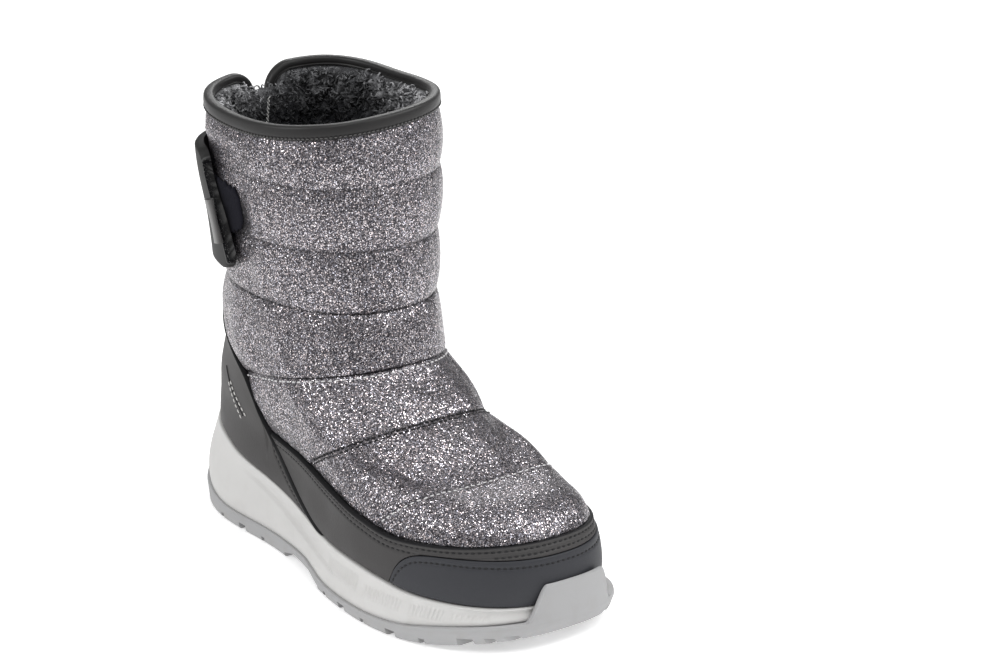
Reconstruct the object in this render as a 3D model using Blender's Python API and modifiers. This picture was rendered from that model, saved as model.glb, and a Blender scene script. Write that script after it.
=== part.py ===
"""Child's winter boot for the right foot: a quilted hollow upper on a cupped midsole and a lugged outsole.

Frame: +X points to the toe, +Y to the inner side of the foot, +Z up; the origin is on the floor,
under the middle of the boot. Sizes below are in millimetres and become metres when a mesh is made.
"""
import math

import bmesh
import bpy
import numpy as np

# Driving sizes
MM = 0.001
GAP = 0.3
AROUND = 48
HALF = AROUND // 2
FINE = 240
BOOT_NAME = "winter_boot"

# The foot's curve to the inner side and its waist
INFLARE = 6.0
INFLARE_START = 20.0
INFLARE_RUN = 75.0
WAIST_X = -29.0
WAIST_RUN = 42.0
WAIST_LATERAL = 10.5
WAIST_MEDIAL = 8.0
WAIST_FADE = (36.0, 74.0)

# Height lines along the boot, each a row of (x, z)
SEAT_LINE = ((-95, 22.0), (-45, 21.0), (0, 16.5), (40, 10.0), (70, 11.0), (97, 13.4))
SOLE_LINE = ((-97, 39.0), (-81, 35.0), (-70, 32.6), (-60, 29.4), (-50, 27.2), (-40, 25.6), (-22, 23.2),
             (-4, 21.4), (12, 20.4), (34, 20.0), (48, 19.0), (64, 17.2), (80, 16.6), (98, 16.2))
TREAD_TOP_LINE = ((-101, 13.5), (-90, 10.6), (-78, 8.0), (-62, 6.4), (-24, 6.6), (-4, 7.4), (16, 4.6),
                  (40, 4.8), (58, 5.6), (80, 9.0), (96, 11.0), (101, 11.6))
GROUND_LINE = ((-101, 2.4), (-92, 0.0), (58, 0.0), (70, 0.8), (101, 6.0))
GUARD_LINE = ((-90, 50.0), (-44, 46.8), (-24, 44.6), (-6, 43.6), (14, 41.6), (38, 38.0), (55, 35.8),
              (70, 36.2), (95, 38.2))
COUNTER_LINE = ((-92, 82.0), (-74, 80.6), (-64, 75.6), (-57, 70.9), (-48, 65.8), (-44, 62.0), (-38, 52.2),
                (-31, 41.0), (-15, 30.2), (4, 23.4), (16, 20.9), (40, 14.0))

# Levels of the upper. Columns: level, back x, front x, lateral half width, medial half width,
# share of the length where it is widest, back power, front power, height line
SECTIONS = (
    ("feather", -88.5, 92.6, 37.0, 34.4, 0.65, 2.7, 2.5, tuple((x, z + GAP) for x, z in SEAT_LINE)),
    ("sole line", -90.5, 95.0, 39.4, 36.6, 0.65, 2.7, 2.5, SOLE_LINE),
    ("toe bulge", -89.5, 96.2, 39.6, 37.2, 0.64, 2.6, 2.4, ((-91, 52.0), (0, 37.0), (96, 27.0))),
    ("toe roll", -88.0, 91.5, 38.6, 36.4, 0.62, 2.6, 2.3, ((-90, 62.0), (0, 48.0), (92, 39.0))),
    ("toe top", -87.0, 79.5, 36.8, 34.6, 0.60, 2.5, 2.3, ((-88, 68.0), (0, 54.5), (81, 46.2))),
    ("vamp", -85.6, 57.0, 34.4, 30.6, 0.57, 2.4, 2.2, ((-87, 74.0), (0, 61.6), (57, 49.4))),
    ("instep", -84.2, 35.0, 33.6, 32.2, 0.54, 2.4, 2.2, ((-85, 80.0), (35, 61.5))),
    ("ankle", -82.6, 13.5, 32.8, 32.6, 0.52, 2.3, 2.2, ((-83, 87.0), (14, 75.5))),
    ("shaft low", -81.5, 7.0, 32.8, 34.0, 0.50, 2.2, 2.2, ((-83, 99.0), (8, 99.0))),
    ("shaft middle", -82.5, 6.0, 34.6, 36.0, 0.50, 2.2, 2.2, ((-84, 122.0), (7, 122.0))),
    ("shaft high", -84.2, 5.6, 36.6, 37.6, 0.50, 2.5, 2.3, ((-85, 146.0), (6, 145.0))),
    ("rim", -83.4, 4.2, 35.2, 37.0, 0.50, 3.0, 2.35, ((-86, 169.4), (-43, 167.4), (6, 170.4))),
)
FEATHER, SOLE_LEVEL, RIM = 0, 1, len(SECTIONS) - 1

# How much a level rises to the inner side, per length across
LEANS = {"shaft high": 0.03, "rim": 0.073}

# Quilting seams of the upper. Columns: seam, x on the seam, z there, slope to the front, rise to the inner side
SEAMS = (
    ("toe seam", 45.0, 38.0, 0.95, 0.0),
    ("instep seam", 1.0, 47.0, 0.57, 0.0),
    ("ankle seam", -44.0, 67.0, 0.21, 0.0),
    ("shaft seam low", 0.0, 99.0, 0.0, 0.0),
    ("shaft seam middle", 0.0, 122.0, 0.0, 0.0),
    ("shaft seam high", 0.0, 145.5, 0.0, 0.0),
    ("rim seam", -86.0, 163.4, 0.0, LEANS["rim"]),
)
SEAM_MERGE = 0.15
PUFF = (2.2, 2.6, 2.6, 2.4, 2.0, 1.9, 1.7)
PUFF_POWER = 0.6
PUFF_ROOM = 16.0
PUFF_CLEAR = 0.9
PUFF_SHARES = (0.14, 0.5, 0.86)
TOE_SHARES = (0.12, 0.30, 0.50, 0.70, 0.88)
HIDDEN_SHARES = (0.17, 0.34, 0.51, 0.68, 0.84)
WALL = 3.0
INNER_LEVELS = (11, 10.5, 10, 9, 8, 7.4, 6.8, 6, 5, 4, 3, 2, 1, 0)

# Overlays
OVERLAY_GAP = 0.5
COUNTER_GAP = 0.9
OVERLAY_THICK = 1.5
OVERLAY_REST = 0.8
OVERLAY_TIP = 1.5
COUNTER_JOIN, TOE_CAP_JOIN = 0.7, 0.8
OVERLAY_CLEAR = 0.13
COUNTER_COLUMNS = (6.5, 7.25, 7.5, 7.75, 8.5)
COUNTER_ROWS, GUARD_ROWS, TOE_CAP_ROWS = 7, 5, 4
TOE_CAP_START = 53.0
TOE_CAP_RISE = 17.4
TOE_CAP_RUN = 4.6
TOE_CAP_LOW = 15.6
CORNER_COLUMNS = (0.22, 0.5, 0.8)

# Sole rings. Columns: ring, back x, front x, lateral half width, medial half width, widest share,
# back power, front power
SOLE_RINGS = {
    "ground": (-96.5, 96.0, 42.8, 40.2, 0.68, 2.7, 2.5),
    "tread edge": (-100.0, 99.6, 44.1, 42.0, 0.68, 2.7, 2.5),
    "tread top": (-101.0, 101.0, 44.7, 42.6, 0.68, 2.7, 2.5),
    "foam bed": (-98.0, 96.2, 42.2, 39.6, 0.68, 2.7, 2.5),
    "foam foot": (-99.6, 97.2, 43.4, 40.8, 0.68, 2.7, 2.5),
    "foam side": (-99.8, 98.0, 43.6, 41.2, 0.67, 2.7, 2.5),
    "foam waist": (-97.0, 97.2, 42.4, 40.0, 0.66, 2.7, 2.5),
    "foam top": (-93.6, 97.8, 42.0, 39.6, 0.66, 2.7, 2.5),
}
EDGE_ROUND = 1.2
FOAM_SIDE_SHARE, FOAM_WAIST_SHARE = 0.30, 0.68
RIB_COLUMNS = (12, 18)
RIB_HEIGHT = 0.6

# Toe bumper, part of the outsole, and the columns that it takes each side of the toe
BUMPER_THICK = 2.3
BUMPER_TOP = 24.6
BUMPER_SLOPE = (9.3, 17.8)
TOE_COLUMNS = (0.35, 0.7, 1.0, 1.35, 1.6, 1.85, 2.1, 2.4, 2.7)

# Tread. Columns: place along the boot, True for a wide groove or False for a nick in the edge
TREAD_CUTS = ((-68, False), (-53, True), (-39, False), (16, False), (29.5, True), (43, False), (58, True),
              (71, False), (85, True))
CUT_BELOW, CUT_REACH = -2.0, 60.0
GROOVE_WIDE, GROOVE_DEEP = 4.4, 2.9
NICK_WIDE, NICK_DEEP, NICK_LONG = 2.2, 2.2, 6.0
ARCH_CUT = (-23.0, -13.0, 2.0, 10.0)
ARCH_HEIGHT = 5.0
ARCH_LIP = (0.5, 2.0)
RAIL_OFFSET, RAIL_WIDE, RAIL_DEEP = 13.0, 3.2, 2.2
RAIL_RUNS = ((-84.0, -28.0), (18.0, 74.0))

# Insole
INSOLE_THICK = 4.0
INSOLE_EASE = 0.6
INSOLE_TAPER = 0.2

# Collar binding and the notch at the back of the rim
BINDING_THICK = 1.1
BINDING_FACE = 4.2
BINDING_NOTCH_FACE = 3.6
BINDING_FLAT = -0.5
BINDING_SHOULDER = (0.7, 0.72)
BINDING_STEP = 2.0
NOTCH_HALF = 4.0
NOTCH_DEEP = 15.0
SHOULDER_RADIUS = 9.0
SHOULDER_STEPS = 5
BINDING_END = 13.0
NOTCH_RUN = (-99.0, -66.0)
NOTCH_ABOVE = 10.0

# Gusset behind the notch
GUSSET_HALF = 15.0
GUSSET_TOP = 6.0
GUSSET_BOTTOM = 34.0
GUSSET_THICK = 1.2
GUSSET_ROWS = 4

# Closure strap: heights, its ends in columns from the back, and its layers
STRAP_LOW, STRAP_HIGH = 106.5, 150.0
STRAP_FREE_END = 9.7
STRAP_SLANT = 1.8
STRAP_SEWN_END = -9.0
STRAP_ROUND = 7.0
STRAP_THICK = 2.6
STRAP_LIFT = 0.45
STRAP_ROWS, PATCH_ROWS = 7, 6
STRAP_END_SHARES = (0.4, 0.75)
PATCH_THICK = 1.2
PATCH_ENDS = (6.0, 11.8)
PATCH_LOW, PATCH_HIGH = 110.0, 143.0
PULL_SIZE = (3.0, 7.0, 17.0)
PULL_COLUMN = 8.9
PULL_BEVEL = 0.9
PULL_LIFT = 0.65
PULL_DROP = 4.0
PRESSED = 0.12
PRESS_ABOVE, PRESS_BELOW = 6.0, 8.0
STRAP_PRESS = (-40.0, -31.0)
NOTCH_PRESS = (-82.0, -68.0)

# Finishes: colour, roughness
FINISHES = {
    "quilt_fabric": ((0.20, 0.19, 0.21), 0.45),
    "overlay": ((0.075, 0.073, 0.075), 0.55),
    "toe_overlay": ((0.060, 0.062, 0.070), 0.50),
    "foam": ((0.78, 0.77, 0.75), 0.60),
    "rubber": ((0.40, 0.40, 0.41), 0.65),
    "binding": ((0.035, 0.033, 0.035), 0.60),
    "pile": ((0.06, 0.06, 0.065), 0.95),
    "hook_tape": ((0.012, 0.012, 0.013), 0.80),
    "pull_tape": ((0.10, 0.10, 0.10), 0.35),
}


def clear_scene():
    """Remove every object that the scene starts with."""
    for thing in list(bpy.data.objects):
        bpy.data.objects.remove(thing, do_unlink=True)


def smooth_step(low, high, value):
    """Rise smoothly from 0 at low to 1 at high."""
    share = np.clip((np.asarray(value, float) - low) / (high - low), 0.0, 1.0)
    return share * share * (3.0 - 2.0 * share)


def line_height(line, x):
    """Height of a line at x: a smooth curve through its points that never swings past them."""
    places, heights = np.array(line, float).T
    steps = np.diff(places)
    slopes = np.diff(heights) / steps
    tangents = np.empty_like(heights)
    tangents[0], tangents[-1] = slopes[0], slopes[-1]
    for k in range(1, len(heights) - 1):
        before, after = slopes[k - 1], slopes[k]
        tangents[k] = 0.0 if before * after <= 0 else 2.0 * before * after / (before + after)
    at = np.clip(x, places[0], places[-1])
    k = np.clip(np.searchsorted(places, at, side="right") - 1, 0, len(steps) - 1)
    t = (at - places[k]) / steps[k]
    return (heights[k] * (1 + 2 * t) * (1 - t) ** 2 + steps[k] * tangents[k] * t * (1 - t) ** 2
            + heights[k + 1] * t * t * (3 - 2 * t) - steps[k] * tangents[k + 1] * t * t * (1 - t))


def guard_line(x):
    """Top edge of the mudguard."""
    return line_height(GUARD_LINE, x)


def sole_line(x):
    """Top edge of the midsole."""
    return line_height(SOLE_LINE, x)


def counter_line(x):
    """Edge of the heel counter: level at the back, then down and forward to the midsole."""
    return line_height(COUNTER_LINE, x)


def toe_cap_line(x):
    """Edge of the toe cap: up from the midsole in a round corner, then level round the toe."""
    return TOE_CAP_LOW + TOE_CAP_RISE * (1 - np.exp(-(np.asarray(x, float) - TOE_CAP_START) / TOE_CAP_RUN))


def cover_line(x):
    """Upper edge of whatever overlay lies at x."""
    return np.maximum(guard_line(x), counter_line(x))


def plan_loop(back, front, lateral, medial, widest, back_power, front_power, line, columns):
    """Closed loop round the foot, from the back along the lateral side to the toe and home.

    The columns count equal steps of arc length on each side, so column HALF is the toe on every loop.
    """
    turn = np.linspace(0.0, math.pi, FINE + 1)
    cosine, sine = -np.cos(turn), np.sin(turn)
    middle = back + (front - back) * widest
    power = np.where(cosine > 0, 2.0 / front_power, 2.0 / back_power)
    reach = np.abs(cosine) ** power
    x = np.where(cosine > 0, middle + (front - middle) * reach, middle - (middle - back) * reach)
    points = np.empty((len(columns), 3))
    columns = np.asarray(columns, float) % AROUND
    for side, width, waist in ((-1, lateral, WAIST_LATERAL), (1, medial, WAIST_MEDIAL)):
        z = line_height(line, x)
        pinch = waist * np.exp(-((x - WAIST_X) / WAIST_RUN) ** 2) * (1 - smooth_step(*WAIST_FADE, z))
        reach_y = np.abs(sine) ** power
        y = side * (width - pinch) * reach_y
        y = y + INFLARE * np.clip((x - INFLARE_START) / INFLARE_RUN, 0.0, None) ** 2
        run = np.concatenate([[0.0], np.cumsum(np.hypot(np.diff(x), np.diff(y)))])
        chosen = columns <= HALF if side < 0 else columns > HALF
        share = columns[chosen] / HALF if side < 0 else (AROUND - columns[chosen]) / HALF
        for axis, values in enumerate((x, y, z)):
            points[chosen, axis] = np.interp(share * run[-1], run, values)
    return points


def section_loop(section):
    """Loop of one level of the upper, with its rise to the inner side."""
    loop = plan_loop(*section[1:], np.arange(AROUND))
    loop[:, 2] += LEANS.get(section[0], 0.0) * loop[:, 1]
    return loop


def sole_loop(ring, line, columns):
    """Loop of one ring of the sole, at the height of a line."""
    return plan_loop(*SOLE_RINGS[ring], line, columns)


LEVELS = np.stack([section_loop(section) for section in SECTIONS])
SPANS = np.linalg.norm(np.diff(LEVELS, axis=0), axis=2)


def level_tangents():
    """Direction of the upper along each column, at each level."""
    slopes = np.diff(LEVELS, axis=0) / SPANS[:, :, None]
    tangents = np.empty_like(LEVELS)
    tangents[0], tangents[-1] = slopes[0], slopes[-1]
    before, after = SPANS[:-1, :, None], SPANS[1:, :, None]
    tangents[1:-1] = (after * slopes[:-1] + before * slopes[1:]) / (before + after)
    return tangents


TANGENTS = level_tangents()


def shell(levels, columns):
    """Points of the upper's smooth outer form at levels and whole columns."""
    levels = np.asarray(levels, float)
    columns = np.asarray(columns, int) % AROUND
    k = np.clip(levels.astype(int), 0, RIM - 1)
    t = (levels - k)[..., None]
    span = SPANS[k, columns][..., None]
    return (LEVELS[k, columns] * (1 + 2 * t) * (1 - t) ** 2 + span * TANGENTS[k, columns] * t * (1 - t) ** 2
            + LEVELS[k + 1, columns] * t * t * (3 - 2 * t) - span * TANGENTS[k + 1, columns] * t * t * (1 - t))


def shell_normal(levels, columns):
    """Outward direction of the upper's form at levels and whole columns."""
    step = 0.04
    levels = np.asarray(levels, float)
    columns = np.asarray(columns, int)
    low = np.clip(levels - step, 0, RIM)
    high = np.clip(levels + step, 0, RIM)
    along = shell(high, columns) - shell(low, columns)
    round_about = shell(levels, columns + 1) - shell(levels, columns - 1)
    normal = np.cross(round_about, along)
    return normal / np.linalg.norm(normal, axis=-1, keepdims=True)


def skin(levels, columns, offset):
    """Points at an offset outside the upper, at any columns: straight between the whole ones."""
    columns = np.asarray(columns, float)
    low = np.floor(columns).astype(int)
    share = (columns - low)[..., None]
    first = shell(levels, low) + offset * shell_normal(levels, low)
    second = shell(levels, low + 1) + offset * shell_normal(levels, low + 1)
    return first * (1 - share) + second * share


def level_of(columns, line, lean=0.0):
    """Level where each column of the upper first rises past a line of heights.

    The lean is how much the line rises to the inner side, per length across.
    """
    trial = np.linspace(0, RIM, 40 * RIM + 1)
    found = []
    for column in np.atleast_1d(columns):
        points = skin(trial, np.full(trial.shape, float(column)), 0.0)
        above = points[:, 2] - line(points[:, 0]) - lean * points[:, 1]
        k = int(np.argmax(above >= 0)) if np.any(above >= 0) else RIM
        share = 0.0 if k == 0 else above[k - 1] / (above[k - 1] - above[k])
        found.append(trial[max(k - 1, 0)] + share * (trial[1] - trial[0]))
    return np.array(found)


def seam_height(seam, x):
    """Height of a quilting seam at x, on the boot's middle plane."""
    return seam[2] + seam[3] * (np.asarray(x, float) - seam[1])


def puff(points):
    """How far the filling lifts the quilted fabric at points of the upper."""
    x, y, z = points[..., 0], points[..., 1], points[..., 2]
    lift = np.zeros(x.shape)
    floor = np.maximum(guard_line(x), counter_line(x - PUFF_CLEAR)) + PUFF_CLEAR
    for seam, height in zip(SEAMS, PUFF):
        top = np.maximum(seam_height(seam, x) + seam[4] * y, floor)
        share = np.clip((z - floor) / np.maximum(top - floor, 0.1), 0.0, 1.0)
        room = np.clip((top - floor) / PUFF_ROOM, 0.0, 1.0)
        lift += height * room * (4 * share * (1 - share)) ** PUFF_POWER
        floor = top
    beside = 1 - smooth_step(*STRAP_PRESS, x)
    behind = 1 - smooth_step(*NOTCH_PRESS, x)
    above = smooth_step(STRAP_HIGH, STRAP_HIGH + PRESS_ABOVE, z)
    below_top = np.where(above > 0, np.maximum(1 - above, behind), 1.0)
    under = smooth_step(STRAP_LOW - PRESS_BELOW, STRAP_LOW, z) * below_top
    return lift * (1 - (1 - PRESSED) * under * beside)


def add_mesh(name, points, faces, finish, collection, smooth=True):
    """Make one object from points in millimetres and faces, with its finish."""
    mesh = bpy.data.meshes.new(name)
    mesh.from_pydata([tuple(p * MM) for p in np.asarray(points, float)], [], faces)
    form = bmesh.new()
    form.from_mesh(mesh)
    bmesh.ops.remove_doubles(form, verts=form.verts, dist=0.00001)
    bmesh.ops.recalc_face_normals(form, faces=form.faces)
    form.to_mesh(mesh)
    form.free()
    if smooth:
        mesh.shade_smooth()
        mesh.set_sharp_from_angle(angle=math.radians(40))
    thing = bpy.data.objects.new(name, mesh)
    collection.objects.link(thing)
    if finish:
        mesh.materials.append(make_material(name, finish))
    return thing


def make_material(name, finish):
    """Principled material of one finish."""
    colour, roughness = FINISHES[finish]
    material = bpy.data.materials.new(name + "_" + finish)
    material.use_nodes = True
    shader = material.node_tree.nodes["Principled BSDF"]
    shader.inputs["Base Color"].default_value = (*colour, 1.0)
    shader.inputs["Roughness"].default_value = roughness
    shader.inputs["Metallic"].default_value = 0.0
    return material


def ring_faces(rings, count, joined=False):
    """Faces between neighbouring closed rings of equal count, joined last to first if asked."""
    faces = []
    pairs = rings if joined else rings - 1
    for r in range(pairs):
        for i in range(count):
            j = (i + 1) % count
            other = (r + 1) % rings
            faces.append((r * count + i, r * count + j, other * count + j, other * count + i))
    return faces


def split_faces(faces):
    """Triangles of four-sided faces, all cut along the same diagonal, so that layered sheets stay parallel."""
    return [side for a, b, c, d in faces for side in ((a, b, c), (a, c, d))]


def ladder_faces(start, count):
    """Cap over one ring: rungs from the lateral side to the medial side."""
    faces = [(start, start + 1, start + count - 1)]
    for i in range(1, count // 2 - 1):
        faces.append((start + i, start + i + 1, start + count - i - 1, start + count - i))
    middle = count // 2
    faces.append((start + middle - 1, start + middle, start + middle + 1))
    return faces


def inset_loop(loop, inset):
    """Loop moved inwards in plan."""
    along = np.roll(loop, -1, axis=0) - np.roll(loop, 1, axis=0)
    inward = np.stack([-along[:, 1], along[:, 0], np.zeros(len(loop))], 1)
    return loop + inset * inward / np.linalg.norm(inward, axis=1, keepdims=True)


def at_height(loop, line, lift=0.0):
    """Loop set to the height of a line."""
    moved = loop.copy()
    moved[:, 2] = line_height(line, moved[:, 0]) + lift
    return moved


def add_rings(name, rings, finish, collection):
    """Closed body through rings, capped at both ends."""
    count = len(rings[0])
    faces = ring_faces(len(rings), count)
    faces += ladder_faces(0, count)
    faces += ladder_faces((len(rings) - 1) * count, count)
    return add_mesh(name, np.concatenate(rings), faces, finish, collection)


def cut(thing, cutter, operation="DIFFERENCE"):
    """Boolean of one object with another."""
    step = thing.modifiers.new(cutter.name, "BOOLEAN")
    step.operation = operation
    step.solver = "EXACT"
    step.object = cutter


def add_cutter(name, points, faces, collection):
    """Cutting body, left out of renders."""
    thing = add_mesh(name, points, faces, None, collection, smooth=False)
    thing.hide_render = True
    thing.display_type = "WIRE"
    return thing


def block(low, high):
    """Points and faces of a box between two corners."""
    corners = [(x, y, z) for z in (low[2], high[2]) for y in (low[1], high[1]) for x in (low[0], high[0])]
    faces = [(0, 2, 3, 1), (4, 5, 7, 6), (0, 1, 5, 4), (2, 6, 7, 3), (0, 4, 6, 2), (1, 3, 7, 5)]
    return corners, faces


def join_blocks(blocks):
    """Points and faces of several boxes as one body of cutters."""
    points, faces = [], []
    for corners, sides in blocks:
        start = len(points)
        points += corners
        faces += [tuple(start + k for k in side) for side in sides]
    return points, faces


def sole_columns():
    """Columns of the outsole: the common ones, closer together at the toe."""
    fine = [HALF - c for c in TOE_COLUMNS] + [HALF + c for c in TOE_COLUMNS]
    return np.array(sorted(set(range(AROUND)) | set(fine)))


def bumper_rise(columns, loop):
    """How far the toe bumper rises above the outsole's edge at each column."""
    foot = line_height(TREAD_TOP_LINE, loop[:, 0])
    away = np.abs(loop[:, 1] - INFLARE)
    slope = 1 - smooth_step(*BUMPER_SLOPE, away)
    near = np.abs(columns - HALF) < max(TOE_COLUMNS) + 0.5
    return np.where(near, (BUMPER_TOP - foot) * slope, 0.0)


def build_outsole(parts, cutters):
    """Rubber outsole: flared edge, toe bumper, arch and lugs."""
    columns = sole_columns()
    ground = sole_loop("ground", GROUND_LINE, columns)
    low_edge = sole_loop("tread edge", GROUND_LINE, columns)
    low_edge[:, 2] += EDGE_ROUND
    edge = sole_loop("tread top", TREAD_TOP_LINE, columns)
    edge[:, 2] -= EDGE_ROUND
    top = inset_loop(sole_loop("tread top", TREAD_TOP_LINE, columns), GAP)
    rise = bumper_rise(columns, top)
    lip = top.copy()
    lip[:, 2] += rise
    lip_foot = at_height(inset_loop(top, BUMPER_THICK), TREAD_TOP_LINE)
    lip_back = lip_foot.copy()
    lip_back[:, 2] += rise
    bed = sole_loop("foam bed", TREAD_TOP_LINE, columns)
    rings = [ground, low_edge, edge, top, lip, lip_back, lip_foot, bed]
    outsole = add_rings("outsole", rings, "rubber", parts)
    cut(outsole, arch_cutter(cutters))
    cut(outsole, groove_cutter(cutters))
    cut(outsole, rail_cutter(cutters))
    return outsole


def arch_cutter(cutters):
    """Prism that lifts the arch clear of the floor."""
    first, rise, fall, last = ARCH_CUT
    lip_run, lip_height = ARCH_LIP
    profile = ((first, CUT_BELOW), (last, CUT_BELOW), (last - lip_run, lip_height), (fall, ARCH_HEIGHT),
               (rise, ARCH_HEIGHT), (first + lip_run, lip_height))
    count = len(profile)
    points = [(x, y, z) for y in (-CUT_REACH, CUT_REACH) for x, z in profile]
    faces = [tuple(range(count)), tuple(range(2 * count - 1, count - 1, -1))]
    faces += [(k, (k + 1) % count, count + (k + 1) % count, count + k) for k in range(count)]
    return add_cutter("arch_cutter", points, faces, cutters)


def groove_cutter(cutters):
    """Wide grooves across the tread, and nicks in its edge between them."""
    edge = sole_loop("ground", GROUND_LINE, np.linspace(0, AROUND, 480, endpoint=False))
    blocks = []
    for x, wide in TREAD_CUTS:
        floor = float(line_height(GROUND_LINE, x))
        if wide:
            half = GROOVE_WIDE / 2
            blocks.append(block((x - half, -CUT_REACH, CUT_BELOW), (x + half, CUT_REACH, floor + GROOVE_DEEP)))
            continue
        half = NICK_WIDE / 2
        near = edge[np.abs(edge[:, 0] - x) < half + 1.0]
        for side in (-1, 1):
            reach = np.max(near[:, 1] * side)
            ends = sorted((side * (reach - NICK_LONG), side * CUT_REACH))
            blocks.append(block((x - half, ends[0], CUT_BELOW), (x + half, ends[1], floor + NICK_DEEP)))
    points, faces = join_blocks(blocks)
    return add_cutter("groove_cutter", points, faces, cutters)


def rail_cutter(cutters):
    """Grooves along the tread, which part its lugs."""
    half = RAIL_WIDE / 2
    blocks = []
    for first, last in RAIL_RUNS:
        for y in (-RAIL_OFFSET, RAIL_OFFSET):
            blocks.append(block((first, y - half, CUT_BELOW), (last, y + half, RAIL_DEEP)))
    points, faces = join_blocks(blocks)
    return add_cutter("rail_cutter", points, faces, cutters)


def midsole_columns():
    """Columns of the midsole: the common ones, with the crests and valleys of its side ribs."""
    first, last = RIB_COLUMNS
    ribs = np.arange(first, last, 0.25)
    return np.array(sorted(set(range(AROUND)) | set(ribs) | set(AROUND - ribs)))


def rib_lift(columns):
    """How far the ribs of the midsole's side stand out at each column."""
    first, last = RIB_COLUMNS
    from_back = np.minimum(columns, AROUND - columns)
    ribbed = (from_back > first) & (from_back < last)
    return np.where(ribbed, RIB_HEIGHT * np.sin(2 * math.pi * from_back) ** 2, 0.0)


def build_midsole(parts):
    """Foam midsole: a cup with a flared heel, a ribbed side and a seat for the upper."""
    columns = midsole_columns()
    whole = np.ones(len(columns))
    bed = sole_loop("foam bed", TREAD_TOP_LINE, columns)
    foot = sole_loop("foam foot", TREAD_TOP_LINE, columns)
    bed[:, 2] += GAP
    foot[:, 2] += GAP
    top = sole_loop("foam top", SOLE_LINE, columns)
    side = sole_loop("foam side", TREAD_TOP_LINE, columns)
    side[:, 2] += FOAM_SIDE_SHARE * (top[:, 2] - side[:, 2])
    waist = sole_loop("foam waist", SOLE_LINE, columns)
    waist[:, 2] = foot[:, 2] + FOAM_WAIST_SHARE * (top[:, 2] - foot[:, 2])
    waist = inset_loop(waist, -rib_lift(columns)[:, None])
    brow = top.copy()
    brow[:, 2] -= EDGE_ROUND
    crown = inset_loop(top, EDGE_ROUND / 2)
    rim = at_height(skin(SOLE_LEVEL * whole, columns, GAP), SOLE_LINE)
    wall = skin((FEATHER + SOLE_LEVEL) / 2 * whole, columns, GAP)
    base = at_height(skin(FEATHER * whole, columns, GAP), SEAT_LINE)
    return add_rings("midsole", [bed, foot, side, waist, brow, crown, rim, wall, base], "foam", parts)


def build_insole(parts):
    """Sock board on the midsole's seat."""
    columns = np.arange(AROUND)
    low = skin(np.full(AROUND, float(FEATHER)), columns, -WALL - INSOLE_EASE)
    low = at_height(low, SEAT_LINE, GAP)
    high = at_height(inset_loop(low, INSOLE_TAPER), SEAT_LINE, GAP + INSOLE_THICK)
    return add_rings("insole", [low, high], "pile", parts)


def upper_rows():
    """Level of each row of the upper's outer side, for every column.

    One row follows the edge of the overlays. A seam that an overlay hides falls on that row.
    """
    columns = np.arange(AROUND)
    below = np.full(AROUND, float(SOLE_LEVEL))
    edge = level_of(columns, cover_line)
    rows = [np.full(AROUND, float(FEATHER)), below]
    rows += [below + share * (edge - below) for share in HIDDEN_SHARES]
    rows.append(edge)
    shares = TOE_SHARES
    for seam in SEAMS:
        start = rows[-1]
        level = level_of(columns, lambda x, s=seam: seam_height(s, x), seam[4])
        level = np.where(level < start + SEAM_MERGE, start, level)
        rows += [start + share * (level - start) for share in shares]
        rows.append(level)
        shares = PUFF_SHARES
    rows.append(np.full(AROUND, float(RIM)))
    return rows


ROW_LEVELS = np.stack(upper_rows())
ROW_PUFFS = np.stack([puff(shell(levels, np.arange(AROUND))) for levels in ROW_LEVELS])


def drape(levels, columns, offset):
    """Points at an offset outside the quilted wall itself, at any columns."""
    low = np.floor(columns).astype(int)
    share = (np.asarray(columns, float) - low)[:, None]
    ends = []
    for whole in (low % AROUND, (low + 1) % AROUND):
        lifts = [np.interp(v, ROW_LEVELS[:, c], ROW_PUFFS[:, c]) for v, c in zip(levels, whole)]
        ends.append(shell(levels, whole) + (offset + np.array(lifts))[:, None] * shell_normal(levels, whole))
    return ends[0] * (1 - share) + ends[1] * share


def build_upper(parts, cutters):
    """Quilted upper: one wall, open at the collar and underneath, notched at the back of the rim."""
    columns = np.arange(AROUND)
    outer = [shell(v, columns) + p[:, None] * shell_normal(v, columns) for v, p in zip(ROW_LEVELS, ROW_PUFFS)]
    inner = [skin(np.full(AROUND, float(level)), columns, -WALL) for level in INNER_LEVELS]
    inner[0][:, 2] = outer[-1][:, 2]
    inner[-1] = at_height(inner[-1], SEAT_LINE, GAP)
    outer[0] = at_height(outer[0], SEAT_LINE, GAP)
    rings = outer + inner
    faces = ring_faces(len(rings), AROUND, joined=True)
    upper = add_mesh("upper", np.concatenate(rings), split_faces(faces), "quilt_fabric", parts)
    cut(upper, notch_cutter(cutters))
    return upper


def column_pitch():
    """Arc length of one column at the rim."""
    rim = LEVELS[RIM]
    return float(np.linalg.norm(rim[1] - rim[0]))


def notch_path():
    """Places along the notch's edge: (distance from the back along the rim, depth below the rim)."""
    places = [(NOTCH_HALF, BINDING_END)]
    for k in range(SHOULDER_STEPS + 1):
        turn = 0.5 * math.pi * k / SHOULDER_STEPS
        across = NOTCH_HALF + SHOULDER_RADIUS * (1 - math.cos(turn))
        places.append((across, SHOULDER_RADIUS * (1 - math.sin(turn))))
    return places


def rim_point(across, deep, offset):
    """Point of the wall near the rim, at a distance round from the back and a depth below the rim."""
    column = across / column_pitch()
    drop = np.linalg.norm(LEVELS[RIM, 0] - LEVELS[RIM - 1, 0])
    return skin(np.array([RIM - deep / drop]), np.array([column]), offset)[0]


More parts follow.
